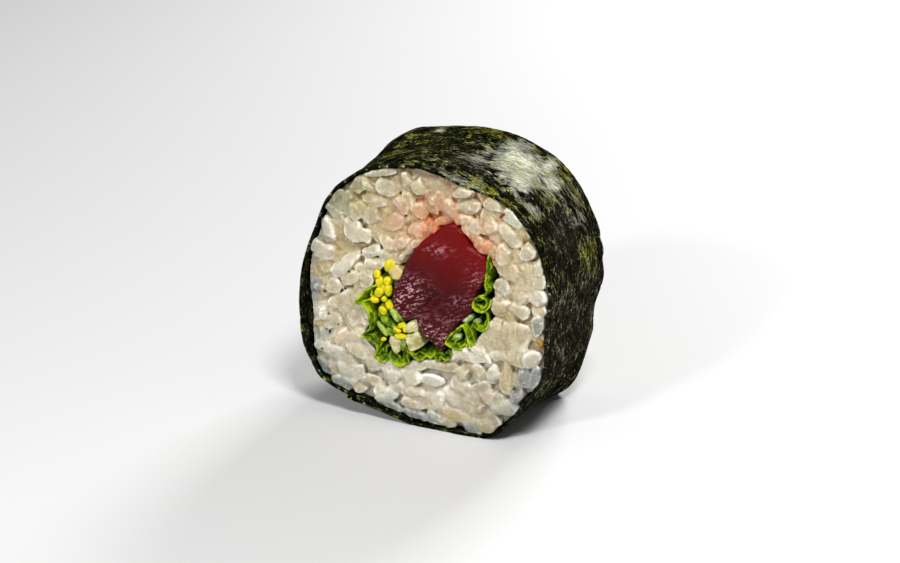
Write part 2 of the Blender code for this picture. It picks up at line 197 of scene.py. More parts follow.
def new_grid(columns, rows):
    """A flat square sheet from -0.5 to 0.5."""
    bpy.ops.mesh.primitive_grid_add(x_subdivisions=columns, y_subdivisions=rows, size=1)
    return bpy.context.object


def finish_piece(piece, name, material, slot, *nodes):
    """Names a piece, gives it its material, and stands it in for its solids."""
    piece.name = piece.data.name = name
    piece.data.materials.clear()
    piece.data.materials.append(material)
    piece.data.shade_smooth()
    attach(piece, "root")
    if nodes:
        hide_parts(*nodes)


def add(tree, kind, inputs=(), **settings):
    """A new shader node. Its inputs are values, or the outputs of other nodes."""
    made = tree.nodes.new(kind)
    for name, value in settings.items():
        setattr(made, name, value)
    for socket, value in dict(inputs).items():
        if isinstance(value, bpy.types.NodeSocket):
            tree.links.new(value, made.inputs[socket])
        else:
            made.inputs[socket].default_value = value
    return made


def maths(tree, operation, a, b=0.0):
    return add(tree, "ShaderNodeMath", {0: a, 1: b}, operation=operation).outputs[0]


def times(tree, a, b):
    return maths(tree, "MULTIPLY", a, b)


def plus(tree, a, b):
    return maths(tree, "ADD", a, b)


def minus(tree, a, b):
    return maths(tree, "SUBTRACT", a, b)


def stored(tree, name):
    """The colours that set_colours stored on the piece's points."""
    return add(tree, "ShaderNodeVertexColor", layer_name=name).outputs["Color"]


def between(tree, value, low, high, to_low=0.0, to_high=1.0):
    """Maps a value's range from low to high onto another range, and stops there."""
    sockets = {"Value": value, "From Min": low, "From Max": high, "To Min": to_low, "To Max": to_high}
    return add(tree, "ShaderNodeMapRange", sockets).outputs[0]


def mixed(tree, factor, a, b, blend="MIX"):
    """A mix of two colours, each three values or another node's output."""
    a, b = (side if isinstance(side, bpy.types.NodeSocket) else (*side, 1) for side in (a, b))
    sockets = {"Factor": factor, 6: a, 7: b}
    return add(tree, "ShaderNodeMix", sockets, data_type="RGBA", blend_type=blend).outputs[2]


def speckle(tree, vector, scale, detail=2.0, roughness=0.5, distortion=0.0):
    sockets = {"Vector": vector, "Scale": scale, "Detail": detail, "Roughness": roughness}
    sockets["Distortion"] = distortion
    return add(tree, "ShaderNodeTexNoise", sockets).outputs["Fac"]


def stretched(tree, vector, sizes, turn=0.0):
    """Places on the sheet counted in lengths of two sizes, the first along a turned direction."""
    sockets = {"Vector": vector, "Scale": (*sizes, 1.0), "Rotation": (0.0, 0.0, turn)}
    return add(tree, "ShaderNodeMapping", sockets, vector_type="TEXTURE").outputs["Vector"]


def streaks(tree, vector, sizes, turn=0.0, **texture):
    """Noise in patches of about those sizes."""
    return speckle(tree, stretched(tree, vector, sizes, turn), 1.0, **texture)


def fibres(tree, vector, sizes, turn, width):
    """Thin lines drawn out one way, lying where smooth noise crosses its middle value."""
    drawn_out = streaks(tree, vector, sizes, turn)
    off_line = maths(tree, "ABSOLUTE", minus(tree, drawn_out, 0.5))
    return between(tree, off_line, 0.35 * width, width, 1.0, 0.0)


def bumped(tree, height, distance):
    sockets = {"Height": height, "Distance": distance * MM}
    return add(tree, "ShaderNodeBump", sockets).outputs["Normal"]


def new_material(name, **values):
    material = bpy.data.materials.new(name)
    material.use_nodes = True
    shader = material.node_tree.nodes["Principled BSDF"]
    for socket, value in values.items():
        shader.inputs[socket.replace("_", " ")].default_value = value
    return material, material.node_tree, shader


def feed(tree, shader, **outputs):
    for socket, output in outputs.items():
        tree.links.new(output, shader.inputs[socket.replace("_", " ")])


def cover(tree, shader, colour, height, distance):
    """Gives a material its colour, and bumps so many millimetres high under its gloss."""
    bumps = bumped(tree, height, distance)
    feed(tree, shader, Base_Color=colour, Normal=bumps, Coat_Normal=bumps)


nori = new_grid(SHEET_COLUMNS, SHEET_ROWS)
flat_sheet = points_of(nori)
turned = (360 + LAP) * (flat_sheet[:, 0] + 0.5)
along = ROLL_LENGTH * flat_sheet[:, 1]
angle = LAP_START - turned
nought = np.zeros(len(along))
on_sheet = np.stack([SHEET_ROUND * flat_sheet[:, 0], along, nought], 1)

drift = noises(on_sheet, (0.05, 0.06, 1), 5.2)
pucker = on_sheet + np.stack([nought, 2.5 * drift, nought], 1)
relief = 0.20 * noises(on_sheet, (0.27, 0.27, 1), 3.1) + 0.22 * noises(on_sheet, (0.07, 0.11, 1), 9.4)
crumpled = smoothstep(noises(on_sheet, (0.05, 0.08, 1), 6.6) * 1.6 + 0.35)
relief -= 0.30 * crumpled * (1 - np.abs(noises(pucker, (0.09, 0.42, 1), 7.7))) ** 8
relief -= 0.22 * crumpled * (1 - np.abs(noises(pucker, (0.22, 0.30, 1), 1.3))) ** 10
relief += 0.10 * crumpled * noises(pucker, (0.45, 1.1, 1), 2.2)
near_rim = smoothstep((-8.0 - along) / 3.5) * swell(turn_from(45, angle), 16)
relief += 0.22 * near_rim * noises(on_sheet, (0.55, 0.6, 1), 4.9)
for (start, start_along), (end, end_along), width, depth in CREASES:
    steps = np.array([(start - end) * 0.45, start_along - end_along])
    from_end = np.stack([turn_from(end, angle) * 0.45, along - end_along], 1)
    reach = np.clip(from_end @ steps / (steps @ steps), 0, 1)
    relief -= depth * swell(np.linalg.norm(from_end - reach[:, None] * steps, axis=1), width)
fold_place = 2.9 + 0.9 * noises(on_sheet, (0.07, 0.0, 1), 4.4)
turned_in = 0.15 + 0.25 * swell(turn_from(62, angle), 30)
relief -= turned_in * (1 - smoothstep((along + ROLL_LENGTH / 2) / fold_place))
off_base = smoothstep((np.abs(turn_from(-84, angle)) - 22) / 12)
relief = np.clip(relief, *RELIEF_LIMITS) * off_base

round_rim = np.stack([on_sheet[:, 0], np.sign(along), nought], 1)
wavy = noises(round_rim, (0.22, 3.0, 1), 8.8)
ragged = noises(round_rim, (1.1, 3.0, 1), 2.4)
edge = smoothstep((np.abs(along) - 11.5) / 2.0)
along = along - np.sign(along) * edge * (0.25 + 0.22 * wavy + 0.10 * ragged)
lap_inset = (SHEET + LAP_GAP) * (1 - smoothstep((turned - LAP) / LAP_RISE))
x, z = roll_points(angle, along, lap_inset - relief)
set_points(nori, placed(x, along, z))
tones = [patches(places, angle, along) for places in (PAINTED_SHEEN, PURPLE, GREEN)]
set_colours(nori, "tone", np.stack(tones, 1))
apply_modifier(nori, "SOLIDIFY", thickness=SHEET * MM, offset=-1)

material, tree, shader = new_material("nori", IOR=1.45, Coat_Roughness=0.42, Coat_IOR=1.4)
pale, purple, green = add(tree, "ShaderNodeSeparateColor", {0: stored(tree, "tone")}).outputs
flat_place = add(tree, "ShaderNodeUVMap").outputs["UV"]
place = stretched(tree, flat_place, (1 / SHEET_ROUND, 1 / ROLL_LENGTH))
sway = times(tree, speckle(tree, place, 0.12, detail=1.0), 6.5)
sway = add(tree, "ShaderNodeCombineXYZ", {"Y": sway}).outputs[0]
swayed = add(tree, "ShaderNodeVectorMath", {0: place, 1: sway}, operation="ADD").outputs[0]
clumps = speckle(tree, place, 0.30, detail=4.0, roughness=0.65)
tufts = streaks(tree, swayed, (3.2, 1.5), detail=3.0, roughness=0.6)
fine = streaks(tree, swayed, (1.0, 0.22), detail=2.0, roughness=0.7)
lumps = streaks(tree, swayed, (2.4, 0.9), detail=4.0, roughness=0.7)
dense = plus(tree, tufts, between(tree, clumps, 0.3, 0.7, -0.08, 0.08))
dense = plus(tree, dense, times(tree, green, 0.12))
swaths = streaks(tree, swayed, (14.0, 6.0))
dense = plus(tree, dense, between(tree, swaths, 0.40, 0.60, -0.09, 0.04))
# Fibres: their sizes, turn and width, what they grow with, and the range where they appear
strands = []
for sizes, turn, width, growth, low, high in (
    ((5.2, 0.75), 0.08, 0.048, dense, 0.53, 0.61),
    ((2.8, 0.6), 0.45, 0.045, dense, 0.58, 0.64),
    ((2.2, 0.6), -0.45, 0.045, clumps, 0.52, 0.60),
    ((2.4, 0.55), 0.25, 0.055, lumps, 0.46, 0.54),
):
    thin_lines = fibres(tree, swayed, sizes, turn, width)
    strands.append(times(tree, thin_lines, between(tree, growth, low, high)))
long_strands, slant_strands, cross_strands, dark_strands = strands

raised = between(tree, lumps, 0.40, 0.62)
ground = mixed(tree, raised, (0.0004, 0.0006, 0.0002), (0.009, 0.011, 0.003))
raised = between(tree, lumps, 0.36, 0.62)
purples = mixed(tree, raised, (0.003, 0.0025, 0.002), (0.034, 0.028, 0.022))
purpled = plus(tree, purple, between(tree, clumps, 0.5, 0.3, 0.0, 0.5))
ground = mixed(tree, purpled, ground, purples)
# Painted sheen: pale streaky patches stand in for the gloss of the wet sheet, which is also made a
# little glossier there
sheen_and_gloss = plus(tree, pale, between(tree, clumps, 0.35, 0.65, -0.20, 0.20))
sheen_and_gloss = plus(tree, sheen_and_gloss, between(tree, lumps, 0.36, 0.64, -0.22, 0.22))
sheen_and_gloss = between(tree, sheen_and_gloss, 0.26, 0.80)
sheen_texture = streaks(tree, swayed, (1.5, 0.55), 0.3, detail=3.0, roughness=0.65)
pales = mixed(tree, between(tree, sheen_texture, 0.38, 0.60), (0.20, 0.22, 0.11), (0.76, 0.77, 0.56))
ground = mixed(tree, times(tree, sheen_and_gloss, 0.9), ground, pales)
greens = mixed(tree, between(tree, fine, 0.44, 0.60), (0.025, 0.035, 0.001), (0.70, 0.70, 0.06))
greys = mixed(tree, between(tree, fine, 0.44, 0.60), (0.025, 0.024, 0.015), (0.55, 0.54, 0.32))
amber = between(tree, speckle(tree, place, 0.9, detail=1.0), 0.64, 0.69)
greens = mixed(tree, amber, greens, (0.60, 0.30, 0.03))
mossy = between(tree, streaks(tree, swayed, (5.0, 1.6)), 0.60, 0.44)
mossy = minus(tree, mossy, times(tree, green, 0.8))
greens = mixed(tree, mossy, greens, (0.32, 0.44, 0.14), "MULTIPLY")
greyness = between(tree, speckle(tree, place, 0.5, detail=3.0, roughness=0.7), 0.44, 0.60)
greyness = minus(tree, plus(tree, greyness, purple), times(tree, green, 0.8))
greens = mixed(tree, between(tree, greyness, 0.0, 1.0), greens, greys)
colour = mixed(tree, times(tree, long_strands, 0.9), ground, greens)
colour = mixed(tree, times(tree, slant_strands, 0.85), colour, greens)
colour = mixed(tree, times(tree, cross_strands, 0.85), colour, greens)
glints = times(tree, between(tree, fine, 0.60, 0.68), between(tree, lumps, 0.48, 0.60))
colour = mixed(tree, times(tree, glints, 0.9), colour, (0.80, 0.78, 0.52))
dark_strands = times(tree, dark_strands, between(tree, sheen_and_gloss, 0.0, 1.0, 0.75, 0.65))
colour = mixed(tree, dark_strands, colour, (0.008, 0.010, 0.003))
height = plus(tree, lumps, times(tree, fine, 0.35))
height = plus(tree, height, times(tree, long_strands, 0.15))
cover(tree, shader, colour, height, 0.60)
feed(tree, shader, Roughness=between(tree, clumps, 0.3, 0.7, 0.30, 0.50))
feed(tree, shader, Specular_IOR_Level=between(tree, sheen_and_gloss, 0.0, 1.0, 0.0, 0.25))
feed(tree, shader, Coat_Weight=between(tree, sheen_and_gloss, 0.0, 1.0, 0.0, 0.15))
finish_piece(nori, "seaweed_sheet", material, "nori", "nori")

# The rice: short-grain rice, boiled and dressed, so that the swollen grains stick together.
# The knife cut grains flat at both ends of the piece and left starch smeared between them.
# Inside the roll it is one packed ring. Each grain of the shown face is laid one by one.
GRAIN_LENGTH = 5.4
GRAIN_WIDTH = 3.5
GRAIN_THICKNESS = 3.4
# How grains differ: most taper and bend, dents, flat chips and how far from the middle they lie,
# and how softly the cut face rounds off into the grain
TAPER = 0.16
BEND = 0.3
DENTS = 0.11
CHIPS = 7
CHIP_REACH = (0.62, 0.88)
CUT_SOFTNESS = 0.24
# Grains that fill gaps: places tried at each pass, and room left to the seaweed and the fillings
FILL_TRIES = 1100
FILL_MARGIN = 1.1
# The outline of the pocket in the rice that the fillings lie in
POCKET = (
    (6.4, 15.4), (4.8, 15.5), (2.9, 14.3), (1.6, 12.9), (-0.4, 11.2), (-1.9, 9.3),
    (-3.6, 7.5), (-5.0, 6.3), (-5.9, 6.0), (-7.0, 6.5), (-8.3, 5.9), (-9.1, 4.5),
    (-10.6, 3.6), (-11.0, 1.8), (-11.9, 0.1), (-14.3, -2.6), (-11.8, -4.2), (-11.6, -6.3),
    (-13.0, -9.0), (-12.3, -10.7), (-10.9, -12.2), (-9.9, -13.9), (-7.0, -13.3), (-5.3, -14.6),
    (-3.1, -13.4), (-0.4, -12.6), (3.0, -11.9), (5.6, -11.1), (5.6, -8.9), (7.5, -8.8),
    (8.9, -7.9), (10.6, -6.6), (12.3, -4.3), (14.1, -1.2), (13.3, 0.6), (14.0, 2.5),
    (13.8, 3.7), (14.4, 6.9), (13.6, 8.6), (13.1, 9.8), (11.5, 10.8), (9.7, 12.3),
    (7.8, 13.7),
)
RICE_VOXEL = 0.19
RICE_TRIANGLES = 190000
# The rice's edge: how far it lies inside the sheet, how much more it does at the lap, and where
# it has drawn back, as angle, half width and how far
RICE_GAP = 0.3
LAP_ROOM = 0.72
GAPE = (-163, 14, 1.5)
# The left of the shown face lies back: how far, from where, and over how much
SLOPE_DEPTH = 1.2
SLOPE_START = -12.0
SLOPE_REACH = 14.0
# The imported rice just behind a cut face: how far back it starts, and its depth
SLAB_RECESS = 1.7
SLAB_DEPTH = 3.4
CORE_LENGTH = 18.0

# Tints as the colour in a grain's middle and at its edge, lighter there as a painted highlight:
# white, cream, pink from the tuna, green from the seaweed, blue-grey and see-through, darkened
# as painted shade, and tan
TINTS = {
    "W": ((0.53, 0.49, 0.37), (0.90, 0.88, 0.81)),
    "C": ((0.48, 0.41, 0.26), (0.80, 0.76, 0.63)),
    "P": ((0.56, 0.40, 0.27), (0.78, 0.63, 0.49)),
    "G": ((0.44, 0.44, 0.33), (0.56, 0.55, 0.45)),
    "B": ((0.23, 0.24, 0.22), (0.42, 0.43, 0.39)),
    "T": ((0.43, 0.34, 0.16), (0.57, 0.47, 0.27)),
}
TINT_SPREAD = 0.22
# The colour of the highlight painted on the ridges of the grains
RIDGE_HIGHLIGHT = np.array([0.92, 0.90, 0.83])
# Painted shade between the grains and in the hollows behind the face, as tints: everywhere, near
# the seaweed at the upper left, lighter low down, and round the top of the tuna, where it takes the
# orange of its juice
GAP_SHADE = np.array([0.33, 0.23, 0.08])
OLIVE_GAP_SHADE = np.array([0.27, 0.23, 0.03])
LOW_GAP_SHADE = np.array([0.51, 0.46, 0.35])
JUICE_GAP_SHADE = np.array([0.55, 0.20, 0.03])
# Painted shade in sharp gaps and crevices, as what they keep of the rice's colour, how much more
# they keep low down, and the slight lift of all the rice there
CREVICE_SHADE = np.array([0.80, 0.62, 0.30])
LOW_CREVICE_SHADE = np.array([0.08, 0.22, 0.44])
LOW_LIFT = np.array([0.0, 0.02, 0.07])
# Where the gaps' painted shade takes the orange of the tuna's juice, and olive near the seaweed:
# place and half width
JUICE_SPREAD = (3.0, 15.0, 8.0)
OLIVE_SPREAD = (-11.0, 15.0, 9.0)
# Stains and painted light: how they tint the rice, place, half width, and strength. The orange
# ones round the tuna are its juice. Others are painted shade: darker at the top of the face,
# brown at the seaweed's rim above it, and cool grey at the rim below and at the sides. The two
# above 1 are painted highlights on the starch smear.
STAINS_AND_PAINTED_LIGHT = (
    ((0.98, 0.44, 0.12), 2.0, 15.6, 3.4, 0.85), ((0.85, 0.34, 0.10), 0.6, 12.6, 1.3, 0.8),
    ((0.90, 0.42, 0.16), 12.2, 12.0, 2.6, 0.85), ((0.98, 0.68, 0.46), -3.5, 13.0, 5.0, 0.45),
    ((0.86, 0.78, 0.62), 4.0, 22.0, 8.0, 0.6), ((0.72, 0.68, 0.56), -7.0, 23.0, 6.0, 0.7),
    ((0.86, 0.80, 0.66), -14.0, 17.0, 7.0, 0.5), ((0.62, 0.42, 0.20), 5.1, 23.4, 1.7, 0.9),
    ((0.80, 0.56, 0.30), 12.0, 21.5, 1.7, 0.8), ((0.66, 0.54, 0.36), 17.4, -10.2, 1.6, 0.5),
    ((0.82, 0.68, 0.46), 14.7, 0.0, 2.2, 0.5), ((0.88, 0.80, 0.68), 18.0, 10.0, 7.0, 0.5),
    ((0.76, 0.77, 0.80), 13.0, -19.0, 7.0, 0.8), ((0.86, 0.82, 0.74), 19.0, -9.0, 5.0, 0.4),
    ((0.72, 0.74, 0.40), -18.5, 17.5, 4.0, 0.5), ((0.66, 0.68, 0.40), -13.5, 19.0, 2.4, 0.8),
    ((0.70, 0.75, 0.78), -20.5, -17.0, 5.0, 0.5), ((0.70, 0.75, 0.78), -4.0, -24.5, 5.0, 0.4),
    ((0.72, 0.77, 0.78), -24.0, -4.0, 3.5, 0.5), ((0.74, 0.82, 0.92), 21.5, -12.0, 3.0, 0.7),
    ((1.26, 1.28, 1.30), 9.0, -8.6, 2.4, 0.8), ((1.18, 1.20, 1.22), 13.5, -9.5, 2.0, 0.6),
)
# The rice is darker against the seaweed at the left and below, and redder against the tuna
SHADE_TINT = np.array([0.50, 0.54, 0.54])
SOAKED_TINT = np.array([0.80, 0.26, 0.08])

# Starch smears: place, length, width, heading in degrees, how far out of the face, and tint
SMEARS = (
    (13.0, -5.6, 13.0, 7.0, -15, -0.15, "C"), (9.0, -9.6, 9.0, 3.0, -5, 0.05, "W"),
    (8.0, -8.6, 5.0, 1.3, -60, 0.40, "W"), (10.6, -8.4, 5.0, 1.2, -35, 0.45, "W"),
    (7.0, -10.4, 4.5, 1.2, 12, 0.35, "W"), (12.6, -9.4, 4.0, 1.2, -55, 0.40, "W"),
    (17.0, -5.0, 7.0, 8.0, 80, -0.25, "C"), (-15.5, -4.5, 9.0, 8.0, 60, -0.25, "C"),
    (-14.5, -12.0, 9.0, 7.0, 0, -0.3, "C"), (1.0, -20.5, 12.0, 5.0, 0, -0.5, "C"),
    (8.0, -19.0, 12.0, 6.0, 0, -0.4, "C"), (-8.0, 13.0, 9.0, 8.0, 60, -0.6, "T"),
    (-1.5, 12.8, 7.0, 3.5, 55, -0.5, "P"), (9.5, 13.5, 8.0, 4.0, -50, -0.6, "P"),
    (-16.5, 7.5, 9.0, 4.0, -40, -0.9, "T"), (19.0, 6.0, 10.0, 8.0, 80, -0.5, "C"),
    (0.0, 22.0, 22.0, 5.0, 0, -0.7, "C"), (15.0, 19.0, 12.0, 5.0, -45, -0.7, "T"),
    (-17.5, 15.5, 8.0, 6.0, 20, -0.5, "G"),
)
# Grains of the shown face, in the same way
GRAINS = (
    (-9.3, 23.1, 7.5, 1.5, 10, -0.3, "G"), (-11.8, 20.2, 3.5, 1.8, -15, 0.0, "W"),
    (-7.7, 20.2, 5.0, 3.3, -15, 0.3, "W"), (-4.0, 22.7, 3.7, 3.4, 10, 0.0, "W"),
    (-1.2, 21.7, 4.0, 3.6, -55, 0.2, "W"), (-4.8, 17.4, 4.0, 3.7, -55, 0.1, "P"),
    (-10.1, 17.8, 6.1, 3.1, 0, 0.3, "C"), (-10.8, 14.9, 5.0, 4.2, 10, 0.2, "C"),
    (-19.3, 14.3, 5.0, 3.0, -25, 0.1, "G"), (-18.6, 17.3, 4.0, 1.8, 40, -0.1, "G"),
    (-16.1, 17.5, 3.5, 2.2, 50, -0.2, "G"), (-14.3, 14.8, 3.7, 3.1, -55, 0.1, "W"),
    (-14.8, 11.4, 5.6, 4.2, -65, 0.5, "W"), (-20.4, 10.6, 5.4, 3.4, -68, 0.8, "W"),
    (-17.5, 9.6, 4.5, 4.0, -45, -0.6, "T"), (-21.5, 6.2, 5.8, 3.9, -25, 0.85, "W"),
    (-18.7, 5.5, 4.7, 3.4, -20, -0.3, "T"), (-16.6, 4.0, 8.7, 3.7, 42, 0.55, "W"),
    (-11.1, 7.5, 4.4, 2.6, 25, 0.3, "W"), (-10.9, 5.1, 4.8, 2.8, 5, 0.3, "W"),
    (-7.8, 9.9, 4.1, 3.3, -55, 0.1, "C"), (-6.3, 14.2, 5.6, 3.7, 35, 0.2, "P"),
    (-5.1, 10.3, 4.7, 3.3, 50, 0.0, "P"), (-1.2, 16.9, 4.0, 3.4, -45, 0.1, "P"),
    (-1.6, 13.4, 5.0, 3.8, 60, 0.0, "P"), (-15.8, 1.6, 4.9, 2.8, 25, 0.0, "C"),
    (-12.0, 2.0, 3.9, 3.0, -20, 0.0, "C"), (-8.2, 7.5, 3.1, 1.9, 45, -0.1, "C"),
    (1.6, 19.6, 4.5, 3.4, 10, 0.2, "P"), (4.7, 18.0, 4.7, 4.2, -55, 0.2, "P"),
    (8.0, 21.9, 5.2, 2.4, 10, 0.7, "W"), (8.6, 19.3, 4.9, 3.5, 0, 0.5, "C"),
    (7.9, 16.3, 3.2, 2.7, 10, -0.1, "P"), (4.9, 22.6, 4.0, 2.6, 10, -0.9, "T"),
    (11.4, 22.3, 3.0, 2.4, -20, -0.8, "T"), (13.6, 20.0, 4.1, 3.2, -20, 0.0, "G"),
    (17.5, 18.1, 4.9, 3.9, -55, 0.1, "G"), (12.6, 15.7, 4.8, 4.5, -20, 0.3, "P"),
    (16.8, 14.8, 5.8, 3.3, -45, 0.4, "W"), (11.6, 12.1, 4.0, 3.8, -45, -0.1, "P"),
    (20.5, 12.3, 3.9, 3.3, 60, 0.4, "W"), (16.0, 10.8, 5.1, 4.1, -70, 0.1, "C"),
    (17.0, 8.1, 5.1, 4.1, -30, 0.2, "C"), (20.4, 8.4, 4.9, 4.0, -10, 0.2, "C"),
    (22.5, 9.5, 4.1, 2.5, 80, 0.3, "W"), (15.7, 4.4, 5.1, 3.4, -45, 0.1, "G"),
    (19.2, 3.4, 5.3, 3.4, 20, 0.2, "C"), (22.2, 3.5, 4.8, 4.1, -20, 0.3, "W"),
    (-23.0, -1.6, 3.6, 3.4, -55, 0.2, "B"), (-19.0, -0.7, 4.6, 3.2, -10, 0.1, "C"),
    (-18.2, -3.6, 5.9, 3.4, 35, 0.0, "C"), (-14.4, -2.4, 4.9, 3.8, -55, 0.0, "C"),
    (-15.3, -6.0, 6.1, 3.6, 50, 0.0, "C"), (-19.5, -7.3, 4.4, 3.8, -70, 0.0, "C"),
    (-21.6, -7.0, 3.0, 2.4, 10, 0.2, "W"), (-20.8, -8.7, 2.2, 1.8, 10, 0.1, "W"),
    (-21.7, -10.9, 4.1, 3.4, -10, 0.2, "G"), (-17.5, -10.6, 4.6, 3.0, 45, 0.1, "P"),
    (-21.6, -13.7, 5.1, 3.1, -20, 0.3, "W"), (-18.4, -14.4, 4.8, 3.4, -35, 0.2, "W"),
    (-14.1, -9.8, 5.4, 3.0, 25, 0.0, "C"), (-14.5, -12.7, 5.2, 3.6, -10, 0.1, "C"),
    (-17.1, -17.3, 4.6, 3.2, -45, 0.2, "W"), (-14.6, -17.4, 5.7, 3.4, 55, 0.4, "W"),
    (-11.2, -14.8, 4.4, 3.4, -10, 0.1, "C"), (-11.6, -18.3, 4.3, 3.2, 10, 0.2, "C"),
    (-17.8, -20.5, 5.4, 3.8, -15, 0.0, "B"), (-22.1, -17.5, 4.6, 2.8, -55, 0.0, "B"),
    (-6.8, -16.7, 4.7, 3.7, 0, 0.3, "W"), (-8.5, -20.9, 5.9, 2.9, 20, 0.2, "G"),
    (-7.9, -23.2, 6.0, 3.1, 0, -0.1, "B"), (-3.4, -16.7, 5.6, 4.6, -20, 0.3, "W"),
    (-2.2, -19.1, 5.3, 3.1, 0, 0.2, "C"), (-2.6, -21.6, 5.2, 2.7, -5, 0.2, "C"),
    (1.1, -12.8, 4.7, 2.6, 5, 0.2, "W"), (1.5, -16.0, 5.0, 2.9, -5, 0.4, "W"),
    (4.6, -12.8, 4.1, 2.6, 5, 0.1, "T"), (7.5, -13.9, 4.1, 3.2, 10, 0.2, "C"),
    (7.9, -10.1, 3.6, 2.0, 0, 0.1, "T"), (10.8, -13.0, 4.1, 3.3, -55, 0.1, "C"),
    (13.6, -12.7, 4.2, 2.6, 85, 0.3, "W"), (16.4, -13.0, 7.7, 2.6, 85, 0.2, "T"),
    (7.7, -16.9, 4.5, 3.4, -10, 0.1, "C"), (11.4, -15.7, 4.4, 2.8, 35, 0.1, "C"),
    (12.8, -17.6, 4.3, 3.5, -45, 0.2, "P"), (5.3, -19.4, 4.4, 3.3, -20, 0.2, "W"),
    (2.6, -19.9, 4.0, 2.7, 60, 0.1, "W"), (5.5, -22.4, 5.4, 3.7, -15, -0.1, "T"),
    (10.8, -20.4, 4.3, 4.0, -35, 0.2, "T"), (16.1, -19.2, 6.1, 4.1, -5, 0.4, "W"),
    (13.0, -23.2, 5.5, 3.2, 5, 0.1, "T"), (9.4, -24.3, 5.0, 2.9, -5, -0.1, "B"),
    (1.9, -23.9, 4.6, 2.7, -25, 0.1, "B"), (-2.4, -23.9, 5.2, 2.6, -10, -0.1, "B"),
    (18.6, -16.2, 5.2, 2.6, 60, 0.2, "B"), (21.4, -8.5, 4.2, 3.2, 30, 0.5, "W"),
    (20.0, -12.5, 4.0, 3.9, -35, 0.2, "B"), (22.4, -12.5, 6.3, 2.7, 80, 0.1, "B"),
    (22.7, -1.7, 5.1, 2.5, 90, 0.1, "B"), (18.7, 0.4, 4.6, 3.4, -10, 0.0, "C"),
    (15.3, 0.6, 4.7, 2.9, 35, 0.0, "C"), (19.3, -4.0, 5.2, 2.9, 80, -0.1, "C"),
    (16.1, -4.3, 5.3, 2.9, 75, -0.1, "C"), (12.9, -6.8, 4.7, 2.6, 60, 0.0, "C"),
    (14.8, -8.9, 3.9, 2.4, 0, 0.1, "W"), (17.6, -8.4, 3.8, 2.2, 60, 0.0, "C"),
)


def curve(a, b, c, d, t):
    """Points a share t of the way from b to c on the Catmull-Rom curve through all four."""
    straight = 2 * b + (c - a) * t
    return 0.5 * (straight + (2 * a - 5 * b + 4 * c - d) * t**2 + (3 * b - a - 3 * c + d) * t**3)


def closed_spline(points, count):
    """Points evenly spaced in parameter on the closed curve through some points."""
    corners = np.array(points)
    step = np.arange(count) * len(corners) / count
    first = step.astype(int)
    t = (step - first)[:, None]
    return curve(*(corners[(first + k) % len(corners)] for k in (-1, 0, 1, 2)), t)


def by_angle(outline):
    """A closed outline about the axis, as angles in degrees and how far out it lies there."""
    angles = np.degrees(np.arctan2(outline[:, 1], outline[:, 0]))
    order = np.argsort(angles)
    return angles[order], np.linalg.norm(outline, axis=1)[order]


def about_axis(piece):
    """A piece's points in millimetres about the roll's axis."""
    return points_of(piece) / MM - np.array([AXIS_X, 0, AXIS_HEIGHT])


def normals_of(piece):
    flat = np.empty(len(piece.data.vertices) * 3)
    piece.data.vertices.foreach_get("normal", flat)
    return flat.reshape(-1, 3)


def join(pieces):
    """Joins pieces into the first one."""
    bpy.ops.object.select_all(action="DESELECT")
    for piece in pieces:
        piece.select_set(True)
    bpy.context.view_layer.objects.active = pieces[0]
    bpy.ops.object.join()
    return pieces[0]


def new_ball(segments, rings):
    """A ball of radius 1, and its points."""
    bpy.ops.mesh.primitive_uv_sphere_add(segments=segments, ring_count=rings, radius=1)
    return bpy.context.object, points_of(bpy.context.object)


def reskin(piece, voxel, smoothings):
    """Grows a piece's parts together into one smoothed skin."""
    apply_modifier(piece, "REMESH", mode="VOXEL", voxel_size=voxel * MM)
    apply_modifier(piece, "SMOOTH", factor=0.5, iterations=smoothings)


def slope_back(x):
    """How far the cut face lies behind the sheet's edge at the side where the rice shrank."""
    return SLOPE_DEPTH * smoothstep((SLOPE_START - x) / SLOPE_REACH)


def rice_edge(angle):
    """How far the rice's edge lies inside the sheet's outer side."""
    turned = (LAP_START - angle) % 360
    lap = 1 - smoothstep((turned - LAP) / LAP_RISE) + smoothstep((turned - 360 + LAP_RISE) / LAP_RISE)
    centre, width, depth = GAPE
    return SHEET + RICE_GAP + LAP_ROOM * lap + depth * swell(turn_from(centre, angle), width)


def prism(outline, front, back):
    """A closed upright prism on an outline, from one place along the roll to another."""
    bpy.ops.mesh.primitive_circle_add(vertices=len(outline), fill_type="NGON", radius=1)
    piece = bpy.context.object
    set_points(piece, placed(outline[:, 0], front, outline[:, 1]))
    bpy.ops.object.mode_set(mode="EDIT")
    bpy.ops.mesh.select_all(action="SELECT")
    bpy.ops.mesh.extrude_region_move(TRANSFORM_OT_translate={"value": (0, (back - front) * MM, 0)})
    bpy.ops.mesh.select_all(action="SELECT")
    bpy.ops.mesh.normals_make_consistent(inside=False)
    bpy.ops.object.mode_set(mode="OBJECT")
    return piece


def rice_ring(front, back, side):
    """A ring of rice between the fillings and the narrowest run of the seaweed round it."""
    angles = np.arange(0, 360, 3.0)
    rings = []
    for along in np.linspace(front, back, 8) * side:
        rings.append(np.stack(roll_points(angles, along, rice_edge(angles) + 0.3), 1))
    narrow = np.argmin([np.linalg.norm(ring, axis=1) for ring in rings], axis=0)
    ring = prism(np.array(rings)[narrow, np.arange(len(angles))], front, back)
    hole = prism(closed_spline(POCKET, 120), front - 1, back + 1)
    apply_modifier(ring, "BOOLEAN", operation="DIFFERENCE", object=hole, solver="EXACT")
    bpy.data.objects.remove(hole, do_unlink=True)
    return ring


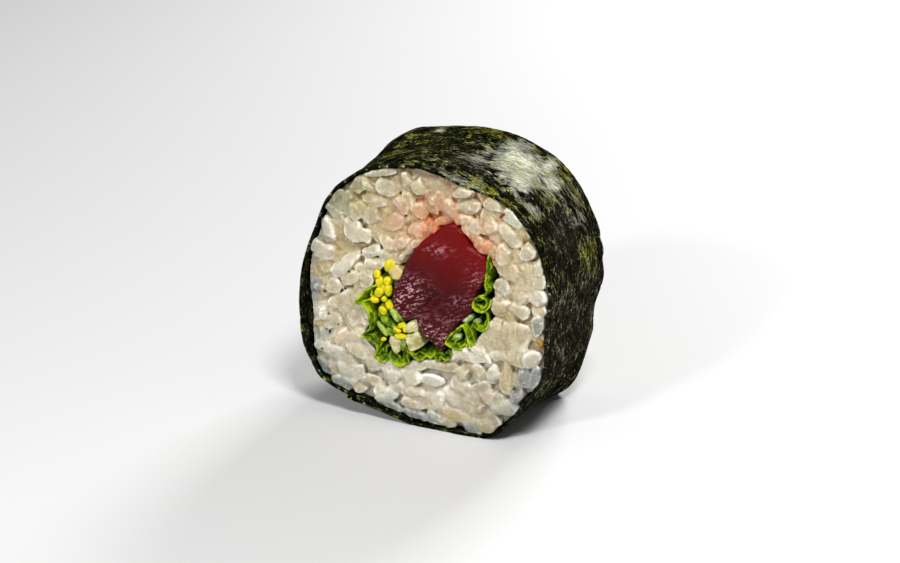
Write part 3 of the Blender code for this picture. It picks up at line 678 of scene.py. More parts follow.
grain_model, ball = new_ball(20, 13)
GRAIN_FACES = [tuple(face.vertices) for face in grain_model.data.polygons]
GRAIN_POINTS = np.sign(ball) * np.abs(ball) ** 0.85
bpy.data.objects.remove(grain_model, do_unlink=True)
POCKET_EDGE = closed_spline(POCKET, 720)
POCKET_REACH = by_angle(POCKET_EDGE)


def room_in_rice(x, along, z):
    """How far places lie from the fillings and from the seaweed, below zero outside the rice."""
    angle = np.degrees(np.arctan2(z, x))
    inner = np.interp(angle, *POCKET_REACH, period=360)
    outer = np.hypot(*roll_points(angle, along, rice_edge(angle)))
    return np.hypot(x, z) - inner, outer - np.hypot(x, z)


def lay_grain(x, z, length, width, heading, out, tint, side, draw, tilt=0.0):
    """One grain: bent and blunt, turned, laid at the cut face, and cut flat where it stands out.

    side is 1 for the shown face, and -1 for the hidden one, whose grains are laid mirrored.
    Gives its points, and a mark: its middle, turn, half sizes and tint.
    """
    thick = min(width, GRAIN_THICKNESS) * 0.92
    half = np.array([length, thick, width]) / 2
    points = GRAIN_POINTS[:, [2, 1, 0]] * half
    lengthwise = GRAIN_POINTS[:, 2]
    points[:, 1:] *= (1 - draw.uniform(-TAPER, TAPER) * lengthwise)[:, None]
    points[:, 2] += draw.uniform(-BEND, BEND) * (lengthwise**2 - 0.4)
    wobble = Vector([draw.uniform(0, 90) for _ in range(3)])
    dents = []
    for point in points:
        coarse = noise.noise(Vector(point) * 0.50 + wobble)
        dents.append(coarse + 0.5 * noise.noise(Vector(point) * 1.1 + wobble))
    points *= (1 + DENTS * np.array(dents))[:, None]
    chips = random.Random(f"{x:.2f} {z:.2f}")
    for _ in range(CHIPS):
        way = np.array(Vector([chips.gauss(0, 1) for _ in range(3)]).normalized())
        beyond = np.clip(points / half @ way - chips.uniform(*CHIP_REACH), 0, None)
        points -= 0.9 * beyond[:, None] * way * half
    turn = Matrix.Rotation(-math.radians(heading), 3, "Y") @ Matrix.Rotation(math.radians(tilt), 3, "Z")
    turn = np.array(turn @ Matrix.Rotation(draw.uniform(-0.3, 0.3), 3, "X"))
    face = slope_back(x) - ROLL_LENGTH / 2 - out
    middle = np.array([x, face + thick * (0.38 if out < 0.15 else 0.47), z])
    points = points @ turn.T + middle
    behind_face = (points[:, 1] - face) / CUT_SOFTNESS
    points[:, 1] = face + CUT_SOFTNESS * np.logaddexp(0, behind_face)
    inner, outer = room_in_rice(points[:, 0], points[:, 1] * side, points[:, 2])
    away = points[:, [0, 2]] / np.hypot(points[:, 0], points[:, 2])[:, None]
    squeeze = np.clip(-outer, 0, None) - np.clip(-inner - 0.35, 0, None)
    points[:, [0, 2]] -= away * squeeze[:, None]
    return points, (middle, turn, half, tint)


def edge_grains(side, draw):
    """Small grains pressed against the fillings all round them."""
    grains = []
    for (x, z), (next_x, next_z) in zip(POCKET_EDGE[::16], POCKET_EDGE[8::16]):
        heading = math.degrees(math.atan2(next_z - z, next_x - x))
        out = 1 + draw.uniform(0.7, 1.1) / math.hypot(x, z)
        size = draw.uniform(2.4, 4.0), draw.uniform(1.8, 2.6)
        heading += draw.uniform(-20, 20)
        behind = draw.uniform(-0.45, -0.05)
        grains.append(lay_grain(x * out, z * out, *size, heading, behind, "C", side, draw))
    return grains


def fill_grains(laid, spacings, out, side, draw, tints):
    """More grains where none of the laid ones lie, packed closer at each pass.

    out is the range of how far they stand out of the face.
    """
    taken = [(middle[0], middle[2], turn, half) for _, (middle, turn, half, _) in laid]
    found = []
    for spacing in spacings:
        for _ in range(FILL_TRIES):
            x, z = draw.uniform(-28, 27), draw.uniform(-26, 27)
            if min(room_in_rice(x, -side * ROLL_LENGTH / 2, z)) < FILL_MARGIN:
                continue
            if any(math.hypot(x - a, z - b) < spacing for a, b in found):
                continue
            offsets = [np.array([x - a, 0, z - b]) @ t / h for a, b, t, h in taken]
            if any(o[0] ** 2 + o[2] ** 2 < 0.8 for o in offsets):
                continue
            found.append((x, z))
    grains = []
    for x, z in found:
        tilt = draw.choice((draw.uniform(-18, 18), draw.uniform(-18, 18), draw.uniform(45, 90)))
        scale = draw.uniform(0.85, 1.1)
        width = GRAIN_WIDTH * scale * draw.uniform(0.88, 1.1)
        grain = (x, z, GRAIN_LENGTH * scale, width, draw.uniform(0, 180), draw.uniform(*out))
        grains.append(lay_grain(*grain, draw.choice(tints), side, draw, tilt))
    return grains


def mesh_of(name, parts, faces):
    """One mesh of many like pieces, from their points and the faces that each has."""
    count = len(parts[0])
    points = np.concatenate([placed(*part.T) for part in parts])
    every = [tuple(v + k * count for v in face) for k in range(len(parts)) for face in faces]
    mesh = bpy.data.meshes.new(name)
    mesh.from_pydata(points.tolist(), [], every)
    piece = bpy.data.objects.new(name, mesh)
    bpy.context.scene.collection.objects.link(piece)
    return piece


def object_place(tree):
    return add(tree, "ShaderNodeTexCoord").outputs["Object"]


def thin_out(piece, triangles):
    """Fewer faces where the surface is flat, down to a number of triangles."""
    apply_modifier(piece, "TRIANGULATE")
    share = triangles / len(piece.data.polygons)
    if share < 1:
        apply_modifier(piece, "DECIMATE", ratio=share)


def bends(piece):
    """How sharply the skin bends at each point, per millimetre: below zero in the gaps."""
    points = points_of(piece) / MM
    edges = np.empty(len(piece.data.edges) * 2, dtype=np.int64)
    piece.data.edges.foreach_get("vertices", edges)
    starts, ends = edges.reshape(-1, 2).T
    corners, others = np.concatenate([starts, ends]), np.concatenate([ends, starts])
    count = np.bincount(corners, minlength=len(points))
    offsets = points[corners] - points[others]
    rise = np.bincount(corners, (offsets * normals_of(piece)[corners]).sum(1), len(points))
    bend = 2 * rise / np.bincount(corners, (offsets**2).sum(1), len(points))
    for _ in range(2):
        bend = 0.5 * bend + 0.5 * np.bincount(corners, bend[others], len(points)) / count
    return bend


def nearness(x, z, middle_x, middle_z, width):
    return swell(np.hypot(x - middle_x, z - middle_z), width)


def tint_grains(piece, marks):
    """Gives each point the tint of its grain, run together with the tints of those round it,
    with painted shade in the gaps and crevices and painted highlights on the ridges.
    """
    points = about_axis(piece)
    nearest = np.full(len(points), 99.0)
    second = np.full(len(points), 99.0)
    tint = np.tile(np.array(TINTS["C"][0]), (len(points), 1)) * 1e-3
    total = np.full(len(points), 1e-3)
    draw = random.Random(8)
    for middle, turn, half, kind in marks:
        local = (points - middle) @ turn / half
        distance = (np.linalg.norm(local, axis=1) - 1) * half.min()
        core, rim = np.array(TINTS[kind])
        lightness = draw.uniform(0.84, 1.08)
        shade = lightness * np.array([1, draw.uniform(0.985, 1.0), draw.uniform(0.90, 1.0)])
        # Lighter towards each grain's edge, as a painted rim highlight
        across = smoothstep((np.hypot(local[:, 0], local[:, 2]) - 0.62) / 0.32)[:, None]
        mine = distance < nearest
        second = np.where(mine, nearest, np.minimum(second, distance))
        nearest = np.where(mine, distance, nearest)
        weight = np.exp(-np.clip(distance, -2.0, 4.0) / TINT_SPREAD)
        tint += (core + (rim - core) * across) * shade * weight[:, None]
        total += weight
    tint /= total[:, None]
    x, along, z = points.T
    # Painted shade between the grains and deeper behind the face: orange where the tuna's juice stains
    # it, olive near the seaweed, and lighter low down
    shade_by_depth = smoothstep((along - slope_back(x) + ROLL_LENGTH / 2 - 0.7) / 1.5)
    juice = nearness(x, z, *JUICE_SPREAD)
    olive = nearness(x, z, *OLIVE_SPREAD)[:, None]
    gap_shade = (0.48 + 0.35 * juice) * swell(second - nearest, 0.17) + 0.85 * shade_by_depth
    gap_shade_tint = GAP_SHADE + (OLIVE_GAP_SHADE - GAP_SHADE) * olive
    gap_shade_tint += (JUICE_GAP_SHADE - gap_shade_tint) * juice[:, None]
    low_down = smoothstep((-z - 4) / 9)[:, None]
    gap_shade_tint += (LOW_GAP_SHADE - gap_shade_tint) * low_down
    tint += (gap_shade_tint - tint) * np.clip(gap_shade, 0, 1)[:, None]
    bend = bends(piece)
    # Painted highlights on the skin's ridges, weaker low down
    ridge = smoothstep(bend - 0.35)[:, None]
    tint += (RIDGE_HIGHLIGHT - tint) * (0.7 - 0.3 * low_down) * ridge
    # Painted shade in the skin's crevices, weaker low down
    crevice_shade = CREVICE_SHADE + low_down * LOW_CREVICE_SHADE
    tint *= 1 + 0.9 * smoothstep((-bend - 0.15) / 1.1)[:, None] * (crevice_shade - 1)
    tint *= 1 + low_down * LOW_LIFT
    set_colours(piece, "tint", stains_and_painted_light(points, tint))


def stains_and_painted_light(points, tint):
    """The tuna's juice seen through the rice, painted shade against the seaweed at the left and
    below, and the stains and painted light listed above.
    """
    x, along, z = points.T
    inner, outer = room_in_rice(x, along, z)
    left_or_low = np.maximum(smoothstep((-x - 12) / 6), smoothstep((-z - 12) / 8))
    shaded = swell(outer, 1.7) * left_or_low
    tint = tint * (1 + 0.8 * shaded[:, None] * (SHADE_TINT - 1))
    soaked = swell(inner, 0.8) * smoothstep((z - 6.5) / 3) * smoothstep((x + 5) / 4)
    tint = tint * (1 + 0.9 * soaked[:, None] * (SOAKED_TINT - 1))
    for colour, *spread, amount in STAINS_AND_PAINTED_LIGHT:
        weight = amount * nearness(x, z, *spread)
        tint = tint * (1 + weight[:, None] * (np.array(colour) - 1))
    return tint


def uneven(points, seed):
    """A grain's points moved about, so that it is bent, dented and ragged like torn starch."""
    shift = [0.22 * noises(points, 0.55, seed + 7 * k) for k in range(3)]
    fine = [0.06 * noises(points, 1.4, seed + 7 * k) for k in range(3)]
    return points + np.stack(shift, 1) + np.stack(fine, 1)


def wrinkle(piece, seed):
    """Facets, dents and a crinkled skin on the merged grains."""
    points = points_of(piece)
    places = points / MM
    creased = 1 - np.abs(noises(places, 0.85, seed)) * 2.2
    fine = 1 - np.abs(noises(places, 2.3, seed + 5)) * 3.0
    depth = 0.06 * creased + 0.05 * noises(places, 1.7, seed + 3) + 0.022 * fine
    set_points(piece, points + normals_of(piece) * (depth - 0.04)[:, None] * MM)


def rice_face(laid, side, draw):
    """The rice at one cut face: its grains, more under them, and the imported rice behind."""
    if not laid:
        laid = fill_grains(laid, (4.2, 3.7, 3.3), (-0.2, 0.45), side, draw, "WWWWCCCCCG")
    laid = laid + fill_grains(laid, (3.6, 3.2), (-0.7, -0.2), side, draw, "WCCCT")
    laid = laid + edge_grains(side, draw)
    under = fill_grains([], (3.6, 3.2), (-1.9, -1.4), side, draw, "CCT")
    parts = [uneven(points, 5.0 + side) for points, _ in laid + under]
    grains = mesh_of("grains", parts, GRAIN_FACES)
    front = SLAB_RECESS - ROLL_LENGTH / 2
    piece = join([grains, rice_ring(front, front + SLAB_DEPTH, side)])
    reskin(piece, RICE_VOXEL, 2)
    wrinkle(piece, 2.0 + side)
    thin_out(piece, RICE_TRIANGLES)
    tint_grains(piece, [mark for _, mark in laid + under])
    if side < 0:
        set_points(piece, points_of(piece) * np.array([1, -1, 1]))
        piece.data.flip_normals()
    return piece


material, tree, shader = new_material(
    "rice",
    IOR=1.42,
    Subsurface_Weight=0.65,
    Subsurface_Radius=(1.0, 0.80, 0.55),
    Subsurface_Scale=0.9 * MM,
    Coat_Weight=1.0,
    Coat_Roughness=0.08,
    Coat_IOR=1.5,
)
tint = stored(tree, "tint")
place = object_place(tree)
cloud = speckle(tree, place, 420.0, detail=4.0, roughness=0.6)
pitting = speckle(tree, place, 1100.0, detail=3.0, roughness=0.65)
milky = between(tree, cloud, 0.40, 0.72, 0.0, 0.5)
colour = mixed(tree, milky, tint, (0.90, 0.88, 0.82), "SOFT_LIGHT")
pits = between(tree, pitting, 0.60, 0.38, 0.0, 0.30)
colour = mixed(tree, pits, colour, (0.66, 0.60, 0.50), "MULTIPLY")
crinkles = speckle(tree, place, 1400.0, detail=3.0, roughness=0.65, distortion=0.8)
# Painted highlights on the crests of the crinkles, in patches
highlight_patches = between(tree, cloud, 0.46, 0.60, 0.05, 0.40)
ridges = times(tree, between(tree, crinkles, 0.52, 0.66), highlight_patches)
colour = mixed(tree, ridges, colour, (0.90, 0.88, 0.80))
height = times(tree, crinkles, between(tree, cloud, 0.44, 0.60, 0.3, 1.0))
height = plus(tree, height, times(tree, cloud, 0.7))
wet = bumped(tree, height, 0.20)
feed(tree, shader, Base_Color=colour, Normal=wet, Coat_Normal=bumped(tree, height, 0.42))
feed(tree, shader, Roughness=between(tree, cloud, 0.3, 0.7, 0.34, 0.52))

draw = random.Random(21)
front_rice = rice_face([lay_grain(*grain, 1, draw) for grain in SMEARS + GRAINS], 1, draw)
finish_piece(front_rice, "rice_grains_front", material, "rice", "rice")
back_rice = rice_face([], -1, draw)
finish_piece(back_rice, "rice_grains_back", material, "rice")
core = rice_ring(-CORE_LENGTH / 2, CORE_LENGTH / 2, 1)
set_colours(core, "tint", np.tile(np.array(TINTS["C"][0]), (len(core.data.vertices), 1)))
finish_piece(core, "rice_core", material, "rice")

# The tuna: a bar of raw red tuna through the middle. Its cut faces are crowned, split by a
# groove and rough with torn fibres, with pink glints painted on; it is redder at the top and
# browner below.
TUNA = (
    (5.2, 15.6), (2.2, 13.5), (-1.0, 10.8), (-3.4, 7.4), (-4.9, 4.2), (-6.5, 0.9),
    (-6.3, -2.6), (-4.4, -5.0), (-2.3, -4.7), (-0.7, -6.8), (1.5, -8.6), (3.5, -9.7),
    (4.8, -7.2), (6.8, -3.9), (9.6, -0.9), (10.8, 3.2), (12.6, 6.8), (12.3, 9.8),
    (9.2, 11.8), (7.3, 14.6),
)
TUNA_CENTRE = np.array([3.6, 3.0])
TUNA_VOXEL = 0.22
TUNA_TRIANGLES = 120000
TUNA_CROWN = 0.5
# The relief of its cut faces grows from so far from the middle, over so much
TUNA_FACE = 11.4
TUNA_FACE_DEPTH = 2.2
# How far from the middle its points may reach, just inside the solid's ends
TUNA_LIMIT = 14.18
GROOVE_START = np.array([2.6, 1.2])
GROOVE_END = np.array([-2.3, -4.7])
GROOVE_WIDTH = 1.1
GROOVE_DEPTH = 0.9
LOW_FLESH = np.array([0.054, 0.0004, 0.0015])
TOP_FLESH = np.array([0.145, 0.0005, 0.001])
BROWN_FLESH = np.array([0.060, 0.002, 0.003])
# Torn fibres, rougher and painted with pale pink glints: middle, half width across, half width
# up, strength
TORN_FIBRES_AND_GLINTS = (
    (-2.0, 1.8, 3.0, 2.2, 1.0), (-4.2, -1.6, 2.4, 2.6, 1.0), (1.5, -6.0, 3.0, 2.4, 1.0),
    (4.2, -8.0, 1.6, 1.6, 0.6), (3.0, 10.2, 2.6, 1.0, 0.5), (10.5, 5.5, 1.8, 2.4, 0.4),
    (7.6, 0.8, 2.6, 1.0, 0.5), (6.5, -2.6, 2.2, 1.2, 0.3),
)

tuna = prism(closed_spline(TUNA, 200), -ROLL_LENGTH / 2 - 0.1, ROLL_LENGTH / 2 + 0.1)
reskin(tuna, TUNA_VOXEL, 6)
points = about_axis(tuna)
spot = points[:, [0, 2]]
across = spot - TUNA_CENTRE
side = np.sign(points[:, 1])
on_end = smoothstep((np.abs(points[:, 1]) - TUNA_FACE) / TUNA_FACE_DEPTH)
tuna_angle = np.degrees(np.arctan2(across[:, 1], across[:, 0]))
reach = np.interp(tuna_angle, *by_angle(closed_spline(TUNA, 720) - TUNA_CENTRE), period=360)
inward = np.clip(np.linalg.norm(across, axis=1) / reach, 0, 1)
groove = GROOVE_END - GROOVE_START
on_groove = np.clip((spot - GROOVE_START) @ groove / (groove @ groove), 0, 1)
from_groove = np.linalg.norm(spot - GROOVE_START - on_groove[:, None] * groove, axis=1)
x, z = spot.T
fibre_way = np.stack([0.90 * x + 0.43 * z, 0.90 * z - 0.43 * x, side * 9], 1)
relief = TUNA_CROWN * (1 - inward**2) - GROOVE_DEPTH * swell(from_groove, GROOVE_WIDTH)
relief += 0.30 * noises(fibre_way, (0.16, 0.22, 1), 6.0)
relief += 0.10 * noises(fibre_way, (0.30, 1.5, 1), 2.0)
relief += 0.09 * noises(fibre_way, (1.0, 1.6, 1), 3.0)
relief -= 0.30 * smoothstep((inward - 0.93) / 0.07) ** 2
points[:, 1] = np.clip(points[:, 1] + side * on_end * relief, -TUNA_LIMIT, TUNA_LIMIT)
furrows = 0.10 * noises(points, (0.8, 0.12, 0.8), 1.0) * (1 - on_end)
points[:, [0, 2]] -= across / np.linalg.norm(across, axis=1)[:, None] * furrows[:, None]
set_points(tuna, placed(*points.T))
thin_out(tuna, TUNA_TRIANGLES)

x, _, z = about_axis(tuna).T
red = smoothstep((z - 2 + 0.3 * x) / 12)[:, None]
brown = smoothstep((2 - z - 0.5 * x) / 9)[:, None]
flesh = LOW_FLESH * (1 - red) + TOP_FLESH * red
flesh += (BROWN_FLESH - flesh) * brown
set_colours(tuna, "flesh", flesh)
fibres_and_glints = np.zeros(len(x))
for middle_x, middle_z, wide, high, strength in TORN_FIBRES_AND_GLINTS:
    fibres_and_glints += strength * swell(x - middle_x, wide) * swell(z - middle_z, high)
set_colours(tuna, "fibres_and_glints", np.tile(fibres_and_glints[:, None], (1, 3)))

material, tree, shader = new_material(
    "tuna",
    Roughness=0.45,
    IOR=1.36,
    Specular_IOR_Level=0.05,
    Subsurface_Weight=0.20,
    Subsurface_Radius=(1.0, 0.15, 0.12),
    Subsurface_Scale=1.0 * MM,
    Coat_Weight=0.4,
    Coat_Roughness=0.07,
    Coat_IOR=1.33,
)
flesh = stored(tree, "flesh")
fibres_and_glints = stored(tree, "fibres_and_glints")
place = object_place(tree)
turn = {"Vector": place, "Rotation": (0.0, math.radians(25), 0.0)}
turned = add(tree, "ShaderNodeMapping", turn).outputs["Vector"]
comb = {"Vector": turned, "Scale": (520.0, 520.0, 2300.0)}
combed = add(tree, "ShaderNodeMapping", comb).outputs["Vector"]
strings = speckle(tree, combed, 1.0, detail=2.0, roughness=0.6)
grain = speckle(tree, place, 1900.0, detail=2.0, roughness=0.6)
# Painted glints: pink specks where the fibres are torn
sparkle = times(tree, between(tree, strings, 0.47, 0.57), between(tree, grain, 0.45, 0.55))
colour = mixed(tree, times(tree, fibres_and_glints, sparkle), flesh, (0.66, 0.32, 0.36))
height = plus(tree, strings, times(tree, grain, 0.9))
rough = times(tree, between(tree, fibres_and_glints, 0.0, 0.7, 0.35, 1.0), height)
cover(tree, shader, colour, rough, 0.45)
finish_piece(tuna, "tuna_block", material, "tuna", "tuna")

# The lettuce: one frilled leaf crumpled round the fillings from the top of the tuna down its
# right side, under it and up on the left. Its cut rim lies at the rice, painted lighter as a
# highlight, and its folds slant inwards from there into painted shade. It runs through the roll.

# The leaf's lengths, each as places of its rim at the cut face and of the fold behind it
RIGHT_FRILL = (
    (13.0, 10.6, 12.9, 10.1), (12.7, 9.3, 12.9, 9.4), (12.7, 7.8, 13.3, 7.9),
    (12.5, 6.2, 13.4, 6.7), (12.3, 4.8, 13.1, 5.1), (12.7, 3.7, 13.3, 4.0),
    (12.1, 2.7, 12.9, 3.0), (10.9, 2.3, 11.7, 1.8), (10.0, 1.1, 11.1, 1.1),
    (10.2, 0.0, 11.3, 0.4), (11.1, -0.4, 11.9, 0.1), (12.3, -0.4, 12.3, 0.0),
    (12.9, -1.5, 12.3, -1.0), (13.0, -2.9, 12.1, -2.2), (12.1, -4.1, 11.5, -3.1),
    (10.9, -4.0, 10.7, -2.9), (9.9, -3.6, 10.1, -2.8), (9.5, -4.2, 9.7, -3.2),
    (9.9, -5.6, 9.5, -4.0), (10.2, -6.9, 9.3, -4.9), (9.5, -7.6, 8.9, -5.3),
    (8.8, -6.5, 8.5, -5.0), (8.5, -5.0, 8.5, -4.2), (7.9, -3.9, 8.3, -3.5),
    (6.9, -4.5, 7.5, -4.6), (6.1, -5.4, 7.1, -5.2), (5.1, -6.4, 6.7, -5.9),
    (4.4, -7.9, 6.5, -6.5), (5.3, -8.5, 6.7, -7.1), (6.5, -8.7, 7.1, -7.2),
    (7.9, -8.6, 7.7, -6.9), (8.7, -7.5, 8.1, -6.3),
)
CURL = (
    (13.5, 2.1, 12.1, 1.1), (13.1, 0.7, 11.9, 0.7), (12.1, -0.4, 11.5, 0.4),
    (10.7, -0.5, 11.1, 0.5), (10.0, 0.5, 10.9, 0.9), (10.3, 1.7, 11.1, 1.3),
    (11.3, 2.3, 11.7, 1.4), (12.4, 2.1, 12.1, 1.3), (12.7, 1.2, 12.1, 0.9),
    (12.0, 0.3, 11.7, 0.6), (11.4, 0.7, 11.5, 1.0),
)
LOWER_FRILL = (
    (5.3, -9.3, 4.4, -9.3), (5.4, -10.7, 4.4, -9.7), (4.2, -11.3, 3.8, -9.8),
    (3.4, -10.8, 3.2, -9.9), (3.0, -11.7, 2.8, -10.0), (2.2, -11.1, 2.4, -9.6),
    (2.0, -10.3, 1.8, -9.5), (1.4, -11.4, 1.2, -9.8), (0.5, -11.1, 0.5, -9.9),
    (-0.7, -12.2, -0.9, -10.2), (-1.9, -12.0, -2.4, -10.4), (-2.8, -11.1, -3.2, -10.2),
    (-3.6, -11.7, -3.6, -10.0), (-3.2, -13.0, -4.0, -10.1), (-4.2, -13.6, -4.6, -9.8),
    (-5.1, -14.3, -5.5, -10.2), (-6.1, -13.9, -6.3, -10.3), (-7.0, -13.0, -6.9, -10.4),
    (-7.2, -12.1, -7.3, -10.3), (-7.8, -13.4, -8.0, -10.6), (-8.6, -13.9, -8.4, -10.5),
    (-9.7, -13.7, -8.8, -10.5), (-10.3, -13.0, -9.0, -10.4), (-9.7, -11.9, -9.0, -9.8),
    (-9.9, -10.9, -9.2, -9.6), (-10.9, -10.1, -9.6, -9.3), (-12.2, -9.7, -10.0, -8.5),
    (-12.8, -9.2, -10.2, -7.9), (-11.3, -7.5, -10.2, -6.9), (-11.3, -5.9, -10.4, -5.6),
    (-11.7, -4.2, -10.4, -4.2), (-12.7, -3.1, -10.4, -3.0), (-14.2, -2.8, -10.4, -2.2),
    (-12.9, -1.0, -10.4, -1.2), (-11.2, 0.5, -10.2, -0.1), (-9.7, 1.5, -9.5, 0.8),
)
LEAF_ROWS = 38
LEAF_STEPS = 8
LEAF_THICKNESS = 0.34
LEAF_PROUD = 0.15
RUFFLE_RECESS = 0.35
SLANT_DEPTH = 3.4
RIB_THICKNESS = 1.6
# Where the leaf is brightest: place and half width
LIT = ((-12.8, -2.8, 3.0), (9.8, -5.5, 4.0))
# The same limit for the leaf, and for all that lies at the cut faces
LEAF_LIMIT = 14.1
FACE_LIMIT = 14.15
# Pale ribs of the leaf where the cut crosses them: place, length, width, heading, how far out
RIBS = (
    (6.1, -6.6, 2.2, 1.8, 60, -0.45),
    (8.5, -2.6, 2.6, 1.5, 35, -0.4),
    (10.3, -2.9, 1.8, 1.0, 20, -0.35),
)


def open_spline(rows, places):
    """Rows at places from 0 to 1 on the open curve through some rows."""
    corners = np.array([rows[0], *rows, rows[-1]])
    step = np.clip(places, 0, 1 - 1e-9) * (len(rows) - 1)
    first = step.astype(int)
    t = (step - first)[:, None]
    return curve(*(corners[first + k] for k in range(4)), t)


def leaf_length(ladder, seed, ruffles=0):
    """One length of the leaf through the roll, or one ruffled to and fro behind another's rim."""
    sheet = new_grid(LEAF_STEPS * len(ladder), LEAF_ROWS)
    flat = points_of(sheet)
    place, across = flat[:, 0] + 0.5, np.clip(-2 * flat[:, 1], -1, 1)
    rows = open_spline(ladder, place)
    rim, fold = rows[:, :2], rows[:, 2:]
    way = np.stack([place * len(ladder), across, place * 0 + seed], 1)
    reach = ROLL_LENGTH / 2 + (-RUFFLE_RECESS if ruffles else LEAF_PROUD)
    if ruffles:
        swing = np.clip(2.0 * noises(way, (ruffles, 0.0, 1), 2.0), -1, 1)[:, None]
        inwards = fold - rim
        rim, fold = rim + inwards * (0.55 + 0.5 * swing), rim + inwards * (0.9 + 0.3 * swing)
    reach = reach + 0.30 * noises(way, (0.9, 0.0, 1), 5.0) + 0.12 * noises(way, (2.7, 0.0, 1), 1.0)
    along = np.sign(across) * reach * (1 - (1 - np.abs(across)) ** 1.7)
    depth = reach - np.abs(along)
    slant = smoothstep(depth / SLANT_DEPTH)[:, None]
    spot = rim + (fold - rim) * slant
    stray = np.stack([noises(way, (0.8, 2.0, 1), 7.0), noises(way, (0.8, 2.0, 1), 9.0)], 1)
    spot += 0.30 * stray * smoothstep((depth - 0.3) / 2.0)[:, None]
    spot += 0.11 * np.stack([noises(way, (2.6, 5.0, 1), 3.0), noises(way, (2.6, 5.0, 1), 4.0)], 1)
    set_points(sheet, placed(spot[:, 0], np.clip(along, -LEAF_LIMIT, LEAF_LIMIT), spot[:, 1]))
    # Painted light and shade: a highlight along the cut rim, strongest where lit and weaker on the
    # ruffles behind, lighter ribbing where lit, and shade deeper in from the rim
    lit = np.max([nearness(spot[:, 0], spot[:, 1], *spread) for spread in LIT], axis=0)
    bright = swell(depth, 0.42) * (0.45 if ruffles else 1) * (0.6 + 0.4 * lit)
    ribbing_and_light = 0.15 + 0.2 * noises(way, (2.2, 3.0, 1), 1.0) + 0.8 * lit
    set_colours(sheet, "leaf", np.stack([bright, smoothstep(depth / 3.6), ribbing_and_light], 1))
    apply_modifier(sheet, "SOLIDIFY", thickness=LEAF_THICKNESS * MM, offset=0)
    return sheet


def turned_to(heading, a, b):
    """Offsets across and up, from offsets along a heading in degrees and square to it."""
    turn = math.radians(heading)
    return a * math.cos(turn) - b * math.sin(turn), a * math.sin(turn) + b * math.cos(turn)


def rounded_bit(x, z, length, width, heading, out, thick, side, draw):
    """A soft lump lying at a cut face, longest along its heading, and the ball it was made from."""
    piece, ball = new_ball(28, 18)
    ball = np.sign(ball) * np.abs(ball) ** 0.8
    wobble = draw.uniform(0, 60)
    dents = 0.16 * noises(ball, 0.9, wobble) + 0.06 * noises(ball, 2.4, wobble)
    ball *= (1 + dents)[:, None]
    across, up = turned_to(heading, ball[:, 2] * length / 2, ball[:, 0] * width / 2)
    along = side * (ROLL_LENGTH / 2 + out - thick / 2 + ball[:, 1] * thick / 2)
    set_points(piece, placed(x + across, np.clip(along, -FACE_LIMIT, FACE_LIMIT), z + up))
    return piece, ball


draw = random.Random(3)
leaves = [leaf_length(RIGHT_FRILL, 0.3), leaf_length(CURL, 3.7), leaf_length(LOWER_FRILL, 7.1)]
leaves += [leaf_length(RIGHT_FRILL, 1.9, 0.9), leaf_length(LOWER_FRILL, 5.2, 0.7)]
for side in (-1, 1):
    for rib in RIBS:
        piece, ball = rounded_bit(*rib, RIB_THICKNESS, side, draw)
        set_colours(piece, "leaf", np.tile([2.0, 0.0, 0.0], (len(ball), 1)))
        leaves.append(piece)
lettuce = join(leaves)

material, tree, shader = new_material(
    "lettuce",
    Roughness=0.42,
    IOR=1.4,
    Specular_IOR_Level=0.05,
    Subsurface_Weight=0.20,
    Subsurface_Radius=(0.8, 1.0, 0.05),
    Subsurface_Scale=0.4 * MM,
    Coat_Weight=0.45,
    Coat_Roughness=0.08,
    Coat_IOR=1.35,
)
bright, shade_by_depth, ribbing_and_light = add(tree, "ShaderNodeSeparateColor", {0: stored(tree, "leaf")}).outputs
place = object_place(tree)
veins = speckle(tree, place, 620.0, detail=4.0, roughness=0.7)
green = mixed(tree, between(tree, veins, 0.42, 0.62), (0.009, 0.034, 0.001), (0.165, 0.290, 0.001))
ribbed = mixed(tree, between(tree, veins, 0.40, 0.60), (0.09, 0.18, 0.0), (0.44, 0.58, 0.01))
green = mixed(tree, ribbing_and_light, green, ribbed)
# Painted shade deeper in from the cut rim
green = mixed(tree, shade_by_depth, green, (0.006, 0.024, 0.001))
# A painted highlight along the cut rim, in patches
rim = mixed(tree, between(tree, veins, 0.42, 0.58), (0.12, 0.26, 0.0), (0.58, 0.68, 0.015))
patchy = between(tree, speckle(tree, place, 330.0), 0.35, 0.6, 0.25, 1.0)
colour = mixed(tree, times(tree, bright, patchy), green, rim)
pale = mixed(tree, between(tree, veins, 0.42, 0.60), (0.18, 0.30, 0.04), (0.70, 0.74, 0.46))
colour = mixed(tree, minus(tree, bright, 1.0), colour, pale)
cover(tree, shader, colour, veins, 0.45)
finish_piece(lettuce, "lettuce_leaf", material, "lettuce", "lettuce")

# The flowering greens: a bunch of soft stems and rolled leaves that runs through the roll. At
# the cut faces its yellow buds are crowded together, blunt and fluted where petals meet.

# Stems through the roll: place, width, height, heading in degrees
STEMS = (
    (-8.9, 2.2, 2.0, 1.6, 90), (-8.2, -0.4, 1.8, 1.9, 90), (-8.9, -3.4, 1.9, 1.6, 60),
    (-8.7, -5.9, 1.8, 2.0, -40), (-7.0, -7.6, 1.7, 2.0, -30), (-9.3, -8.4, 1.3, 1.5, -60),
    (-4.9, -7.4, 1.6, 1.2, 0), (-5.3, -10.6, 1.4, 1.6, 0), (-6.9, 2.4, 1.5, 2.6, 10),
    (-7.2, -3.0, 1.5, 3.2, 0), (-10.3, 1.6, 1.2, 2.8, -10),
)
STEM_RECESS = 1.2
SHOOT_THICKNESS = 1.5
